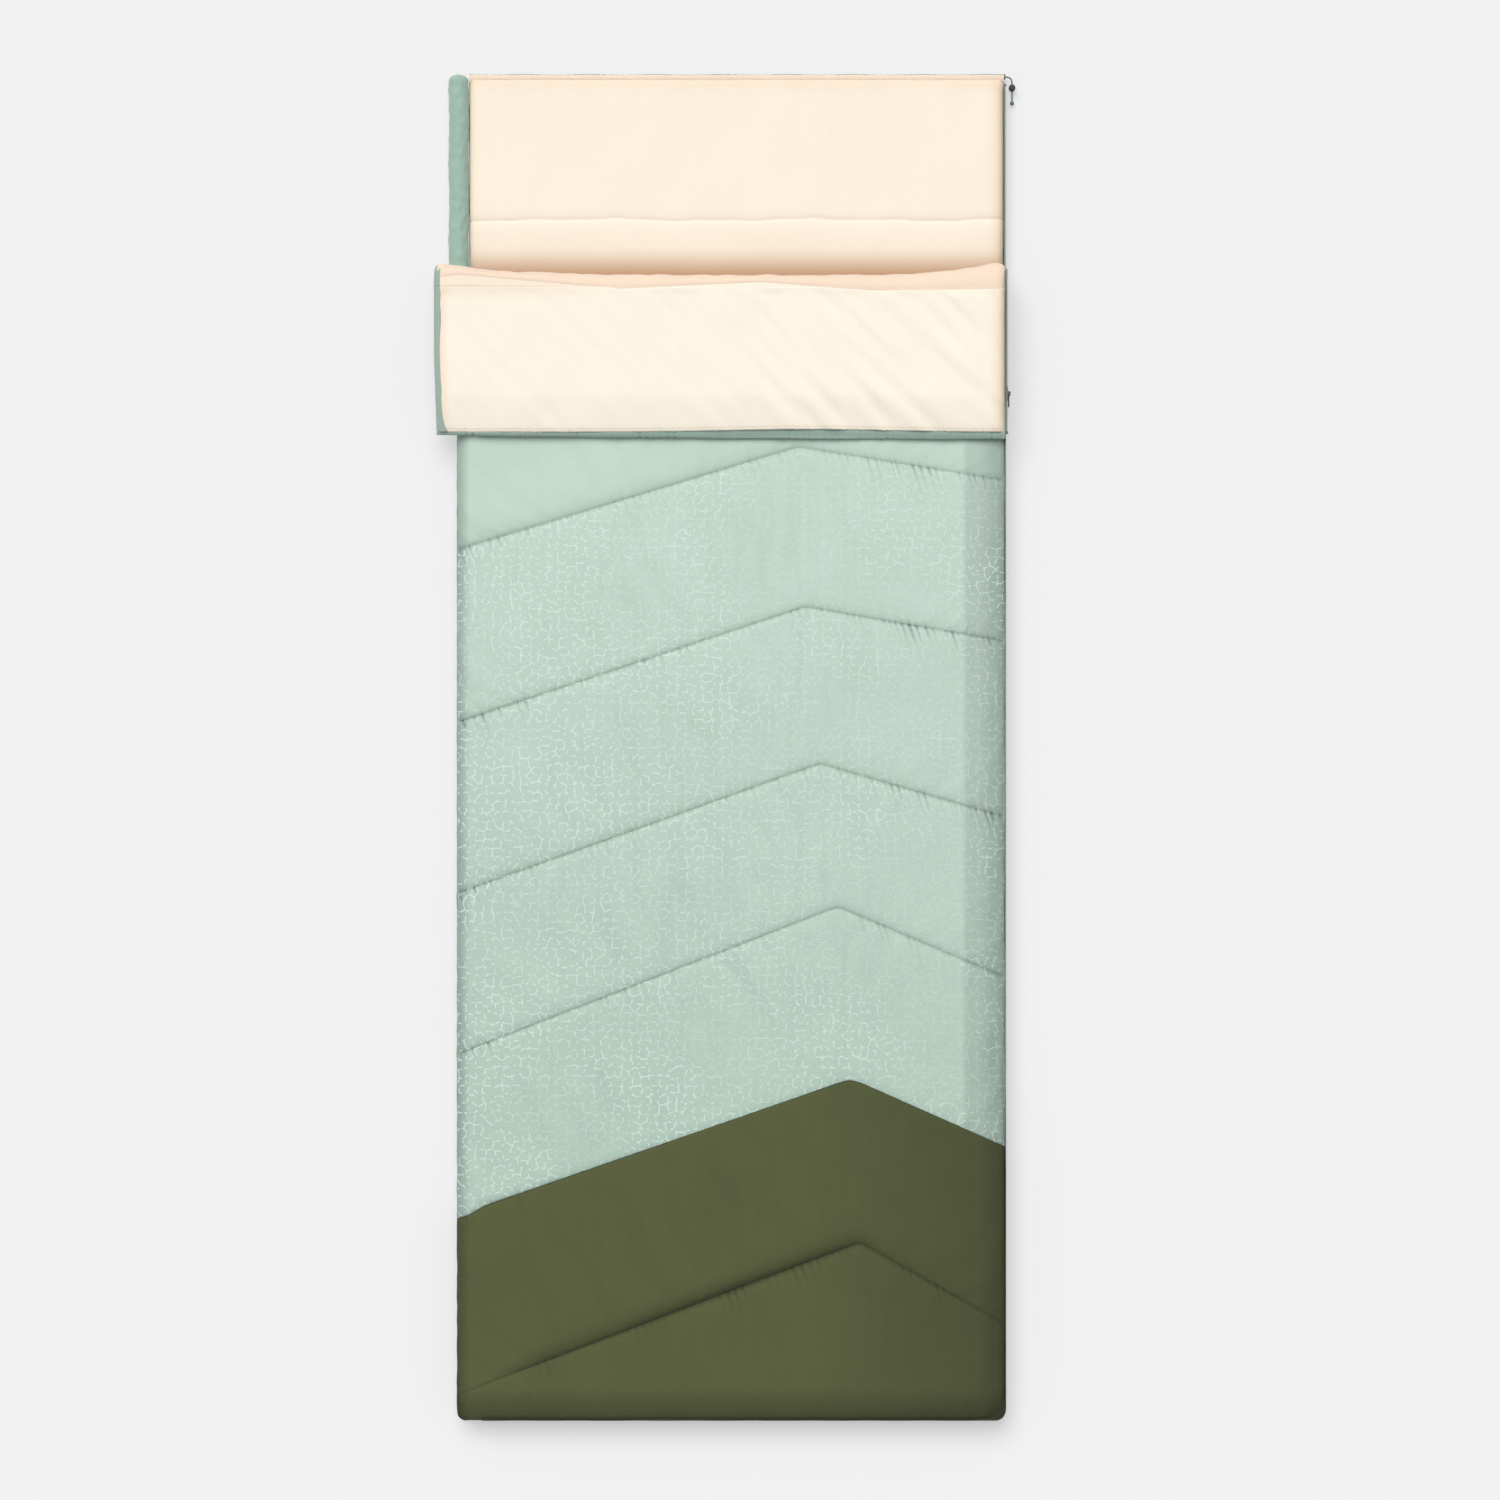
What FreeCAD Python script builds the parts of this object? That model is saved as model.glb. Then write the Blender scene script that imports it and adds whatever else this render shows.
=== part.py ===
import FreeCAD, Part
import math
import os

# Rectangular sleeping bag with a shell, filling and lining in each quilt.
# Frame: +Y to the head, +X to the zip side, +Z up, origin at the centre of the underside.
# Millimetres.  The top quilt lies closed, with its head part turned down as a flap.

Vector = FreeCAD.Vector

# ---- driving dimensions ----
LEFT = -386.5            # outer left side of both quilts
RIGHT = 383.0            # outer right side of both quilts, inside the zip
FOOT = -946.0            # foot end of both quilts
HEAD = 940.0             # head end of the bottom quilt, before its hem
LOFT = 25.0              # thickness of one quilt
SPACE = 8.0              # slack space between the quilts
SKIN = 0.8               # shell or lining fabric with its seam allowance
FOOT_CORNER = 14.0       # corner radius at the foot, seen from above
EDGE_ROLL = 11.5         # radius of the rolled long edges
SKIN_SEAM = 4.0          # how far the lining comes down over the edge before it meets the shell

HEAD_HEM = 10.0          # width of the bottom quilt's head hem
HEAD_HEM_LOW = 3.0
HEAD_HEM_HIGH = 22.0
HEM_ROLL = 8.0           # radius of both hems along their outer edge
FOLD_GAP = 0.7           # the left side fold stands this far outside the quilts
FOLD_OVERLAP = 10.0      # and comes this far past the rolled edge of each quilt
FOLD_HEAD_GAP = 4.0      # and stops this far before the crease

CREASE = 644.0           # line on which the head part of the top quilt turns down
TURN_GAP = 0.5           # space between the top quilt and the flap lying on it
END_GAP = 0.3            # each quilt stops this far before the crease line
FLAP_HEM = 441.0         # where the flap meets its hem binding
HEM_WIDTH = 10.5         # width of the flap's hem binding
FLAP_LEFT_AT_CREASE = -418.0
FLAP_LEFT_AT_HEM = -411.0
FLAP_EDGE_BAND = 12.0    # shell fabric that shows beside the lining on the flap's left edge
FLAP_HEM_INSET = 2.5     # the hem binding is this much thinner than the flap on each side
CREASE_OVERHANG = 12.0   # the crease roll reaches this far past the quilt's left side

TUBE_LEFT = -401.0       # draft tube along the left edge of the bottom quilt
TUBE_RIGHT = -371.5
TUBE_FOOT_END = 655.0
TUBE_HEAD_END = 948.0
TUBE_LOW = 1.0
TUBE_HIGH = 31.0
NOTCH_GAP = 1.0          # space between the draft tube's end and the bottom quilt

TAPE_GAP = 0.3           # zip tape stands this far outside the quilt's edge
TAPE = 0.8
COIL_WIDTH = 3.6
COIL_HEIGHT = 2.8
COIL_APART = 3.2         # free height between the two coils, which the slider's post fills
TAPE_HEIGHT = 18.6
ZIP_END_X = -352.0       # closed end of the zip, near the left corner of the foot
ZIP_HEAD_Y = 930.0       # open end of the zip, near the head
TOP_STOP_LENGTH = 4.0
BOTTOM_STOP_LENGTH = 5.0
BOTTOM_STOP_WRAP = 0.5   # the bottom stop is this much larger than the coil all round
STOP_ROUND = 0.8

SLIDER_Y = 497.0
SLIDER_LENGTH = 22.0
SLIDER_PLATE = 1.6
SLIDER_HEIGHT = 13.0
SLIDER_CLEAR = 0.7       # free space between a plate and the coil
SLIDER_ROUND = 4.0
POST_CLEAR = 0.3         # free space between the post and each coil
POST_TIP = 2.0           # the post starts this far from the slider's middle
POST_SHOULDER = 8.0      # and has its full width from here
POST_SETBACK = 0.5       # and ends this far inside the plates
LIP = 1.3
LIP_HEIGHT = 1.2
LIP_SETBACK = 4.0
PULL_END_Y = 478.0
PULL_WIDTH = 7.0
PULL_ROUND = 2.5
PULL_HOLE = 1.3
PULL_HOLE_INSET = 4.0
PULL_SLOT_GAP = 0.5      # free space between the bridge and each arm of the pull
PULL_SLOT_FOOT = 6.5     # the slot between the arms reaches from here
PULL_SLOT_HEAD = 1.0     # to here on the head side of the pin
PIN_RADIUS = 0.8
PIN_GAP = 0.3            # space between the pin and the outer plate

CORD_RADIUS = 1.0
CORD_BORE = 1.7
CORD_INSET = 6.0         # the cord is stitched fast this far inside the hem's left end
KNOT_RADIUS = 3.0
KNOT_SETBACK = 2.5       # from the end of the tail to the knot's centre
EYELET_RADIUS = 4.0
EYELET_DEPTH = 2.0
EYELET_ROUND = 0.8
LOCK_X = 394.6
LOCK_Y = 930.0
LOCK_RADIUS = 4.6
LOCK_LOW = 1.0
LOCK_HIGH = 13.0
LOCK_BORE = 3.4
LOCK_FLOOR = 1.2
LOCK_TRAVEL = 2.0
LOCK_ROUND = 0.8
LOCK_CROSS_Z = 8.2       # height of the cord's hole through the barrel
PLUNGER_LOW = 6.1
PLUNGER_CLEAR = 0.2      # between the stem and the well, and under the head when pressed
PLUNGER_HEAD = 2.0
PLUNGER_RADIUS = 3.9
PLUNGER_ROUND = 0.7
PLUNGER_SLOT = 3.0       # width of the slot that the cord passes through
PLUNGER_SLOT_LOW = 6.9
PLUNGER_SLOT_HIGH = 12.3
SPRING_WIRE = 0.6
SPRING_TURNS = 2
SPRING_RADIUS = 2.4
SPRING_FOOT_GAP = 0.05
SPRING_HEAD_GAP = 0.1

# The join between the light shell and the dark foot shell rises to a point right of the middle.
FOOT_SEAM = [(-386.9, -662.1), (162.2, -466.9), (386.9, -563.8)]

# ---- heights worked out from the above ----
TOP_LOW = LOFT + SPACE
TOP_HIGH = TOP_LOW + LOFT
FLAP_LOW = TOP_HIGH + TURN_GAP
FLAP_HIGH = FLAP_LOW + LOFT
TURN_Z = TOP_HIGH + TURN_GAP / 2
MIDDLE_Z = LOFT + SPACE / 2
LOWER_COIL_HIGH = MIDDLE_Z - COIL_APART / 2
LOWER_COIL_LOW = LOWER_COIL_HIGH - COIL_HEIGHT
UPPER_COIL_LOW = MIDDLE_Z + COIL_APART / 2
UPPER_COIL_HIGH = UPPER_COIL_LOW + COIL_HEIGHT
TAPE_X = RIGHT + TAPE_GAP
COIL_OUT = TAPE_GAP + TAPE / 2 + COIL_WIDTH / 2
COIL_IN = COIL_OUT - COIL_WIDTH
HEM_Y = HEAD + HEAD_HEM / 2

FAR = 1500.0             # reaches past every side of the bag


def block(x0, x1, y0, y1, z0, z1):
    return Part.makeBox(x1 - x0, y1 - y0, z1 - z0, Vector(x0, y0, z0))


def prism(outline, z0, z1):
    corners = [Vector(x, y, z0) for x, y in outline]
    face = Part.Face(Part.makePolygon(corners + corners[:1]))
    return face.extrude(Vector(0, 0, z1 - z0))


def round_foot_corners(solid, radius):
    foot = solid.BoundBox.YMin
    upright = [
        e for e in solid.Edges
        if e.BoundBox.ZLength > 1 and e.BoundBox.YLength < 1e-3 and abs(e.BoundBox.YMin - foot) < 1e-3
    ]
    return solid.makeFillet(radius, upright)


def roll_edges(solid, radius, square_ends):
    """Rounds the edges above and below, except those that lie on a square end."""
    box = solid.BoundBox
    rolled = []
    for e in solid.Edges:
        flat = e.BoundBox.ZLength < 1e-3
        on_end = e.BoundBox.YLength < 1e-3 and min(abs(e.BoundBox.YMin - y) for y in square_ends) < 1e-3
        outer = min(abs(e.BoundBox.ZMin - box.ZMin), abs(e.BoundBox.ZMax - box.ZMax)) < 1e-3
        if flat and outer and not on_end:
            rolled.append(e)
    return solid.makeFillet(radius, rolled)


def quilt(head, z0, inset):
    """One full-width quilt: rolled sides and foot, square at the head end."""
    outline = [
        (LEFT + inset, FOOT + inset),
        (RIGHT - inset, FOOT + inset),
        (RIGHT - inset, head),
        (LEFT + inset, head),
    ]
    solid = prism(outline, z0 + inset, z0 + LOFT - inset)
    solid = round_foot_corners(solid, FOOT_CORNER - inset)
    return roll_edges(solid, EDGE_ROLL - inset, [head])


def flap_quilt(inset):
    """The turned-down part of the top quilt: rolled at its two sides, square at crease and hem."""
    crease = CREASE - END_GAP
    outline = [
        (FLAP_LEFT_AT_HEM + inset, FLAP_HEM),
        (RIGHT - inset, FLAP_HEM),
        (RIGHT - inset, crease),
        (FLAP_LEFT_AT_CREASE + inset, crease),
    ]
    solid = prism(outline, FLAP_LOW + inset, FLAP_HIGH - inset)
    return roll_edges(solid, EDGE_ROLL - inset, [FLAP_HEM, crease])


def above(z):
    return block(-FAR, FAR, -FAR, FAR, z, FAR)


# ---- bottom quilt ----

def tube_notch():
    """Room on the left of the bottom quilt for the draft tube."""
    return block(-FAR, TUBE_RIGHT, TUBE_FOOT_END - NOTCH_GAP, FAR, -FAR, FAR)


def bottom_skin():
    return quilt(HEAD, 0, 0).cut(quilt(HEAD, 0, SKIN)).cut(tube_notch())


def bottom_shell():
    return bottom_skin().cut(above(LOFT - SKIN_SEAM))


def bottom_lining():
    return bottom_skin().common(above(LOFT - SKIN_SEAM))


def bottom_batting():
    return quilt(HEAD, 0, SKIN).cut(tube_notch())


def hem_bar(x0, x1, joined_y, outer_y, z0, z1):
    """A hem folded over: rounded along its outer edge, square where it meets the quilt."""
    bar = block(x0, x1, min(joined_y, outer_y), max(joined_y, outer_y), z0, z1)
    edges = [
        e for e in bar.Edges
        if e.BoundBox.XLength > 1 and abs(e.BoundBox.YMin - outer_y) < 1e-3
    ]
    return bar.makeFillet(HEM_ROLL, edges)


def bottom_head_hem():
    """Hem across the head with a tunnel through it for the drawcord."""
    bar = hem_bar(TUBE_RIGHT, RIGHT, HEAD, HEAD + HEAD_HEM, HEAD_HEM_LOW, HEAD_HEM_HIGH)
    start = Vector(TUBE_RIGHT, HEM_Y, LOFT / 2)
    return bar.cut(Part.makeCylinder(CORD_BORE, RIGHT - TUBE_RIGHT, start, Vector(1, 0, 0)))


def draft_tube(inset):
    half_width = (TUBE_RIGHT - TUBE_LEFT) / 2 - inset
    half_height = (TUBE_HIGH - TUBE_LOW) / 2 - inset
    centre = Vector((TUBE_LEFT + TUBE_RIGHT) / 2, TUBE_FOOT_END, (TUBE_LOW + TUBE_HIGH) / 2)
    top = centre + Vector(0, 0, half_height)
    side = centre + Vector(half_width, 0, 0)
    oval = Part.Ellipse(top, side, centre).toShape()
    return Part.Face(Part.Wire(oval)).extrude(Vector(0, TUBE_HEAD_END - TUBE_FOOT_END, 0))


def draft_tube_cover():
    return draft_tube(0).cut(draft_tube(SKIN))


def draft_tube_filling():
    return draft_tube(SKIN)


# ---- top quilt ----

def top_skin():
    head = CREASE - END_GAP
    return quilt(head, TOP_LOW, 0).cut(quilt(head, TOP_LOW, SKIN))


def foot_region():
    left = FOOT_SEAM[0][1]
    right = FOOT_SEAM[-1][1]
    return prism([(-FAR, left)] + FOOT_SEAM + [(FAR, right), (FAR, -FAR), (-FAR, -FAR)], 0, FAR)


def top_shell():
    return top_skin().common(above(TOP_LOW + SKIN_SEAM)).cut(foot_region())


def foot_shell():
    return top_skin().common(above(TOP_LOW + SKIN_SEAM)).common(foot_region())


def top_lining():
    return top_skin().cut(above(TOP_LOW + SKIN_SEAM))


def top_batting():
    return quilt(CREASE - END_GAP, TOP_LOW, SKIN)


def left_side_fold():
    """Shell fabric that joins the two quilts down the closed left side."""
    return block(LEFT - FOLD_GAP - SKIN, LEFT - FOLD_GAP, FOOT + FOOT_CORNER, CREASE - FOLD_HEAD_GAP,
                 FOLD_OVERLAP, TOP_HIGH - FOLD_OVERLAP)


def crease_roll():
    """The half turn of the quilt between the top panel and the flap."""
    outer = LOFT + TURN_GAP / 2
    start = Vector(LEFT - CREASE_OVERHANG, CREASE, TURN_Z)
    length = RIGHT - start.x
    roll = Part.makeCylinder(outer, length, start, Vector(1, 0, 0))
    roll = roll.cut(Part.makeCylinder(TURN_GAP / 2, length, start, Vector(1, 0, 0)))
    return roll.common(block(-FAR, FAR, CREASE, FAR, -FAR, FAR))


# ---- flap ----

def flap_skin():
    return flap_quilt(0).cut(flap_quilt(SKIN))


def flap_lining_region():
    """The lining stops inside the left edge, where a band of shell fabric shows."""
    crease = CREASE - END_GAP
    band_low = FLAP_LEFT_AT_HEM + FLAP_EDGE_BAND
    band_high = FLAP_LEFT_AT_CREASE + FLAP_EDGE_BAND
    outline = [(band_low, FLAP_HEM), (FAR, FLAP_HEM), (FAR, crease), (band_high, crease)]
    return prism(outline, FLAP_HIGH - SKIN_SEAM, FAR)


def flap_shell():
    return flap_skin().cut(flap_lining_region())


def flap_lining():
    return flap_skin().common(flap_lining_region())


def flap_batting():
    return flap_quilt(SKIN)


def flap_hem_binding():
    low = FLAP_LOW + FLAP_HEM_INSET
    high = FLAP_HIGH - FLAP_HEM_INSET
    return hem_bar(FLAP_LEFT_AT_HEM, RIGHT, FLAP_HEM, FLAP_HEM - HEM_WIDTH, low, high)


# ---- zip: down the right side, round the foot corner and along the foot ----

def zip_strip(inner, outer, z0, z1):
    """An upright strip that follows the quilt's edge, between two distances outside it."""
    def slab(reach):
        outline = [(-FAR, FOOT - reach), (RIGHT + reach, FOOT - reach), (RIGHT + reach, FAR), (-FAR, FAR)]
        solid = prism(outline, z0, z1)
        corner = [
            e for e in solid.Edges
            if e.BoundBox.ZLength > 1 and e.BoundBox.XMin > 0 and e.BoundBox.YMax < 0
        ]
        return solid.makeFillet(FOOT_CORNER + reach, corner)
    return slab(outer).cut(slab(inner))


def zip_reach(head_y):
    return block(ZIP_END_X, FAR, -FAR, head_y, -FAR, FAR)


def tape_strip(z0, z1, head_y):
    return zip_strip(TAPE_GAP, TAPE_GAP + TAPE, z0, z1).common(zip_reach(head_y))


def coil_strip(z0, z1, head_y):
    return zip_strip(COIL_IN, COIL_OUT, z0, z1).common(zip_reach(head_y))


def lower_zip_tape():
    return tape_strip(LOWER_COIL_LOW - TAPE_HEIGHT, LOWER_COIL_LOW, ZIP_HEAD_Y)


def lower_zip_coil():
    return coil_strip(LOWER_COIL_LOW, LOWER_COIL_HIGH, ZIP_HEAD_Y)


def upper_zip_tape():
    return tape_strip(UPPER_COIL_HIGH, UPPER_COIL_HIGH + TAPE_HEIGHT, CREASE - END_GAP)


def upper_zip_coil():
    return coil_strip(UPPER_COIL_LOW, UPPER_COIL_HIGH, CREASE - END_GAP)


def turned_over(z):
    """Height of a point of the top quilt once it is turned down about the crease."""
    return 2 * TURN_Z - z


def flap_zip_tape():
    low = turned_over(UPPER_COIL_HIGH + TAPE_HEIGHT)
    high = turned_over(UPPER_COIL_HIGH)
    return block(TAPE_X, TAPE_X + TAPE, FLAP_HEM, CREASE - END_GAP, low, high)


def flap_zip_coil():
    low = turned_over(UPPER_COIL_HIGH)
    high = turned_over(UPPER_COIL_LOW)
    return block(RIGHT + COIL_IN, RIGHT + COIL_OUT, FLAP_HEM, CREASE - END_GAP, low, high)


def crimped_stop(y0, y1, low, high):
    stop = block(RIGHT + COIL_IN, RIGHT + COIL_OUT, y0, y1, low, high)
    return stop.makeFillet(STOP_ROUND, stop.Edges)


def lower_top_stop():
    return crimped_stop(ZIP_HEAD_Y, ZIP_HEAD_Y + TOP_STOP_LENGTH, LOWER_COIL_LOW, LOWER_COIL_HIGH)


def flap_top_stop():
    low = turned_over(UPPER_COIL_HIGH)
    high = turned_over(UPPER_COIL_LOW)
    return crimped_stop(FLAP_HEM - TOP_STOP_LENGTH, FLAP_HEM, low, high)


def zip_bottom_stop():
    """Crimped over the lower coil at the closed end, on the foot side."""
    wrap = BOTTOM_STOP_WRAP
    stop = block(ZIP_END_X - BOTTOM_STOP_LENGTH, ZIP_END_X, FOOT - COIL_OUT - wrap, FOOT - COIL_IN + wrap,
                 LOWER_COIL_LOW - wrap, LOWER_COIL_HIGH + wrap)
    return stop.makeFillet(STOP_ROUND, stop.Edges)


# ---- slider and pull ----

SLIDER_LOW = MIDDLE_Z - SLIDER_HEIGHT / 2
SLIDER_HIGH = MIDDLE_Z + SLIDER_HEIGHT / 2
OUTER_PLATE_X = RIGHT + COIL_OUT + SLIDER_CLEAR
INNER_PLATE_X = RIGHT + COIL_IN - SLIDER_CLEAR
PLATE_FACE_X = OUTER_PLATE_X + SLIDER_PLATE
PULL_X = PLATE_FACE_X + PIN_GAP + PIN_RADIUS
BRIDGE_HOLE = 2.4        # clear width and depth under the bridge, for the pull's pin
BRIDGE_WALL = 2.2
BRIDGE_BAR = 1.4
BRIDGE_HALF_HEIGHT = 1.0
BRIDGE_ROUND = 2.0


def slider_plate(x0):
    y0 = SLIDER_Y - SLIDER_LENGTH / 2
    plate = block(x0, x0 + SLIDER_PLATE, y0, y0 + SLIDER_LENGTH, SLIDER_LOW, SLIDER_HIGH)
    corners = [e for e in plate.Edges if e.BoundBox.XLength > 1]
    return plate.makeFillet(SLIDER_ROUND, corners)


def slider_post():
    """The wedge that joins the two plates and parts the coils."""
    half = COIL_APART / 2 - POST_CLEAR
    tip = SLIDER_Y + POST_TIP
    wide = SLIDER_Y + POST_SHOULDER
    end = SLIDER_Y + SLIDER_LENGTH / 2 - POST_SETBACK
    outline = [(tip, MIDDLE_Z), (wide, MIDDLE_Z - half), (end, MIDDLE_Z - half),
               (end, MIDDLE_Z + half), (wide, MIDDLE_Z + half)]
    corners = [Vector(INNER_PLATE_X, y, z) for y, z in outline]
    face = Part.Face(Part.makePolygon(corners + corners[:1]))
    return face.extrude(Vector(OUTER_PLATE_X - INNER_PLATE_X, 0, 0))


def slider_lips():
    """Rails below the lower coil that hold the slider on its tape."""
    y0 = SLIDER_Y - SLIDER_LENGTH / 2 + LIP_SETBACK
    y1 = SLIDER_Y + SLIDER_LENGTH / 2 - LIP_SETBACK
    outer = block(OUTER_PLATE_X - LIP, OUTER_PLATE_X, y0, y1, SLIDER_LOW, SLIDER_LOW + LIP_HEIGHT)
    inner = block(INNER_PLATE_X, INNER_PLATE_X + LIP, y0, y1, SLIDER_LOW, SLIDER_LOW + LIP_HEIGHT)
    return outer, inner


def slider_bridge():
    """A bar on two feet on the outer plate, with the pull's pin under it."""
    half = BRIDGE_HOLE / 2 + BRIDGE_WALL
    top = PLATE_FACE_X + BRIDGE_HOLE + BRIDGE_BAR
    bar = block(PLATE_FACE_X, top, SLIDER_Y - half, SLIDER_Y + half,
                MIDDLE_Z - BRIDGE_HALF_HEIGHT, MIDDLE_Z + BRIDGE_HALF_HEIGHT)
    ends = [
        e for e in bar.Edges
        if e.BoundBox.ZLength > 1 and e.BoundBox.XMin > top - 0.1
    ]
    bar = bar.makeFillet(BRIDGE_ROUND, ends)
    clear = BRIDGE_HOLE / 2
    hole = block(PLATE_FACE_X, PLATE_FACE_X + BRIDGE_HOLE, SLIDER_Y - clear, SLIDER_Y + clear,
                 SLIDER_LOW, SLIDER_HIGH)
    return bar.cut(hole)


def slider_body():
    body = slider_plate(OUTER_PLATE_X)
    inner = slider_plate(INNER_PLATE_X - SLIDER_PLATE)
    outer_lip, inner_lip = slider_lips()
    return body.fuse([inner, slider_post(), outer_lip, inner_lip, slider_bridge()]).removeSplitter()


def pull_tab():
    """Pin under the bridge, two arms beside it and a flat tab with a hole."""
    x0 = PULL_X - PIN_RADIUS
    x1 = PULL_X + PIN_RADIUS
    half = PULL_WIDTH / 2
    slot = BRIDGE_HALF_HEIGHT + PULL_SLOT_GAP
    tab = block(x0, x1, PULL_END_Y, SLIDER_Y, MIDDLE_Z - half, MIDDLE_Z + half)
    ends = [e for e in tab.Edges if e.BoundBox.XLength > 1 and e.BoundBox.YMax < PULL_END_Y + 1]
    tab = tab.makeFillet(PULL_ROUND, ends)
    window = block(x0, x1, SLIDER_Y - PULL_SLOT_FOOT, SLIDER_Y + PULL_SLOT_HEAD,
                   MIDDLE_Z - slot, MIDDLE_Z + slot)
    eye = Vector(x0, PULL_END_Y + PULL_HOLE_INSET, MIDDLE_Z)
    hole = Part.makeCylinder(PULL_HOLE, 2 * PIN_RADIUS, eye, Vector(1, 0, 0))
    pin = Part.makeCylinder(PIN_RADIUS, PULL_WIDTH, Vector(PULL_X, SLIDER_Y, MIDDLE_Z - half))
    return tab.cut(window).cut(hole).fuse(pin).removeSplitter()


# ---- drawcord, its eyelet and its lock ----

EYELET_X = RIGHT + EYELET_DEPTH
TAIL = [
    (EYELET_X, HEM_Y, LOFT / 2),
    (390.6, 944.6, 12.3),
    (394.2, 940.6, 10.6),
    (394.7, 934.6, 8.7),
    (394.5, 928.6, 8.2),
    (394.7, 922.6, 7.9),
    (394.6, 916.8, 5.8),
    (394.6, 911.0, 5.8),
]
CORD_ARC_SHARE = 0.45


def drawcord_in_hem():
    start = Vector(TUBE_RIGHT + CORD_INSET, HEM_Y, LOFT / 2)
    return Part.makeCylinder(CORD_RADIUS, EYELET_X - start.x, start, Vector(1, 0, 0))


def cord_path(points):
    """Straight runs joined by arcs, each as large as its two runs allow."""
    points = [Vector(*p) for p in points]
    edges = []
    radii = []
    at = points[0]
    for before, corner, after in zip(points, points[1:], points[2:]):
        back = before - corner
        ahead = after - corner
        cut = CORD_ARC_SHARE * min(back.Length, ahead.Length)
        turn = math.pi - back.getAngle(ahead)
        radius = cut / math.tan(turn / 2)
        back.normalize()
        ahead.normalize()
        enter = corner + back * cut
        leave = corner + ahead * cut
        bisector = (back + ahead).normalize()
        middle = corner + bisector * (radius / math.cos(turn / 2) - radius)
        edges.append(Part.LineSegment(at, enter).toShape())
        edges.append(Part.Arc(enter, middle, leave).toShape())
        radii.append(radius)
        at = leave
    edges.append(Part.LineSegment(at, points[-1]).toShape())
    return Part.Wire(edges), radii


def drawcord_tail():
    path, radii = cord_path(TAIL)
    start = Vector(*TAIL[0])
    heading = Vector(*TAIL[1]) - start
    ring = Part.Wire(Part.makeCircle(CORD_RADIUS, start, heading))
    tube = path.makePipeShell([ring], True, False)
    solid = Part.Solid(tube) if tube.ShapeType == "Shell" else tube
    expected = math.pi * CORD_RADIUS ** 2 * path.Length
    print("tail radii", [round(r, 2) for r in radii], "length", round(path.Length, 2))
    print("tail volume", round(solid.Volume, 2), "section times length", round(expected, 2))
    return solid


def drawcord_knot():
    end = Vector(*TAIL[-1])
    ball = Part.makeSphere(KNOT_RADIUS, end - Vector(0, KNOT_SETBACK, 0))
    return ball.common(block(-FAR, FAR, -FAR, end.y, -FAR, FAR))


def drawcord_eyelet():
    centre = Vector(RIGHT, HEM_Y, LOFT / 2)
    ring = Part.makeCylinder(EYELET_RADIUS, EYELET_DEPTH, centre, Vector(1, 0, 0))
    ring = ring.cut(Part.makeCylinder(CORD_BORE, EYELET_DEPTH, centre, Vector(1, 0, 0)))
    rims = [e for e in ring.Edges if e.BoundBox.YLength > EYELET_RADIUS and e.BoundBox.XMin > RIGHT + 1]
    return ring.makeFillet(EYELET_ROUND, rims)


def cord_lock_barrel():
    foot = Vector(LOCK_X, LOCK_Y, LOCK_LOW)
    barrel = Part.makeCylinder(LOCK_RADIUS, LOCK_HIGH - LOCK_LOW, foot)
    barrel = barrel.makeFillet(LOCK_ROUND, [e for e in barrel.Edges if e.BoundBox.ZLength < 1e-3])
    well = Part.makeCylinder(LOCK_BORE, LOCK_HIGH, foot + Vector(0, 0, LOCK_FLOOR))
    entry = Vector(LOCK_X, LOCK_Y - LOCK_RADIUS - 1, LOCK_CROSS_Z)
    cross = Part.makeCylinder(CORD_BORE, 2 * LOCK_RADIUS + 2, entry, Vector(0, 1, 0))
    return barrel.cut(well).cut(cross)


PLUNGER_NECK = LOCK_HIGH + LOCK_TRAVEL + PLUNGER_CLEAR


def cord_lock_plunger():
    """A stem slotted for the cord, and the head that is pressed."""
    foot = Vector(LOCK_X, LOCK_Y, PLUNGER_LOW)
    stem = Part.makeCylinder(LOCK_BORE - PLUNGER_CLEAR, PLUNGER_NECK - PLUNGER_LOW, foot)
    head = Part.makeCylinder(PLUNGER_RADIUS, PLUNGER_HEAD, Vector(LOCK_X, LOCK_Y, PLUNGER_NECK))
    head = head.makeFillet(PLUNGER_ROUND, [e for e in head.Edges if e.BoundBox.ZMin > PLUNGER_NECK + 1])
    half = PLUNGER_SLOT / 2
    slot = block(LOCK_X - half, LOCK_X + half, LOCK_Y - LOCK_RADIUS, LOCK_Y + LOCK_RADIUS,
                 PLUNGER_SLOT_LOW, PLUNGER_SLOT_HIGH)
    return stem.fuse(head).removeSplitter().cut(slot)


def cord_lock_spring():
    """Square-wire spring under the plunger."""
    half = SPRING_WIRE / 2
    low = LOCK_LOW + LOCK_FLOOR + half + SPRING_FOOT_GAP
    height = PLUNGER_LOW - half - SPRING_HEAD_GAP - low
    helix = Part.makeHelix(height / SPRING_TURNS, height, SPRING_RADIUS)
    inner = SPRING_RADIUS - half
    outer = SPRING_RADIUS + half
    corners = [Vector(x, 0, z) for x, z in ((inner, -half), (outer, -half), (outer, half), (inner, half))]
    section = Part.makePolygon(corners + corners[:1])
    coil = Part.Wire(helix.Edges).makePipeShell([section], True, True)
    solid = Part.Solid(coil) if coil.ShapeType == "Shell" else coil
    return solid.translated(Vector(LOCK_X, LOCK_Y, low))


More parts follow.
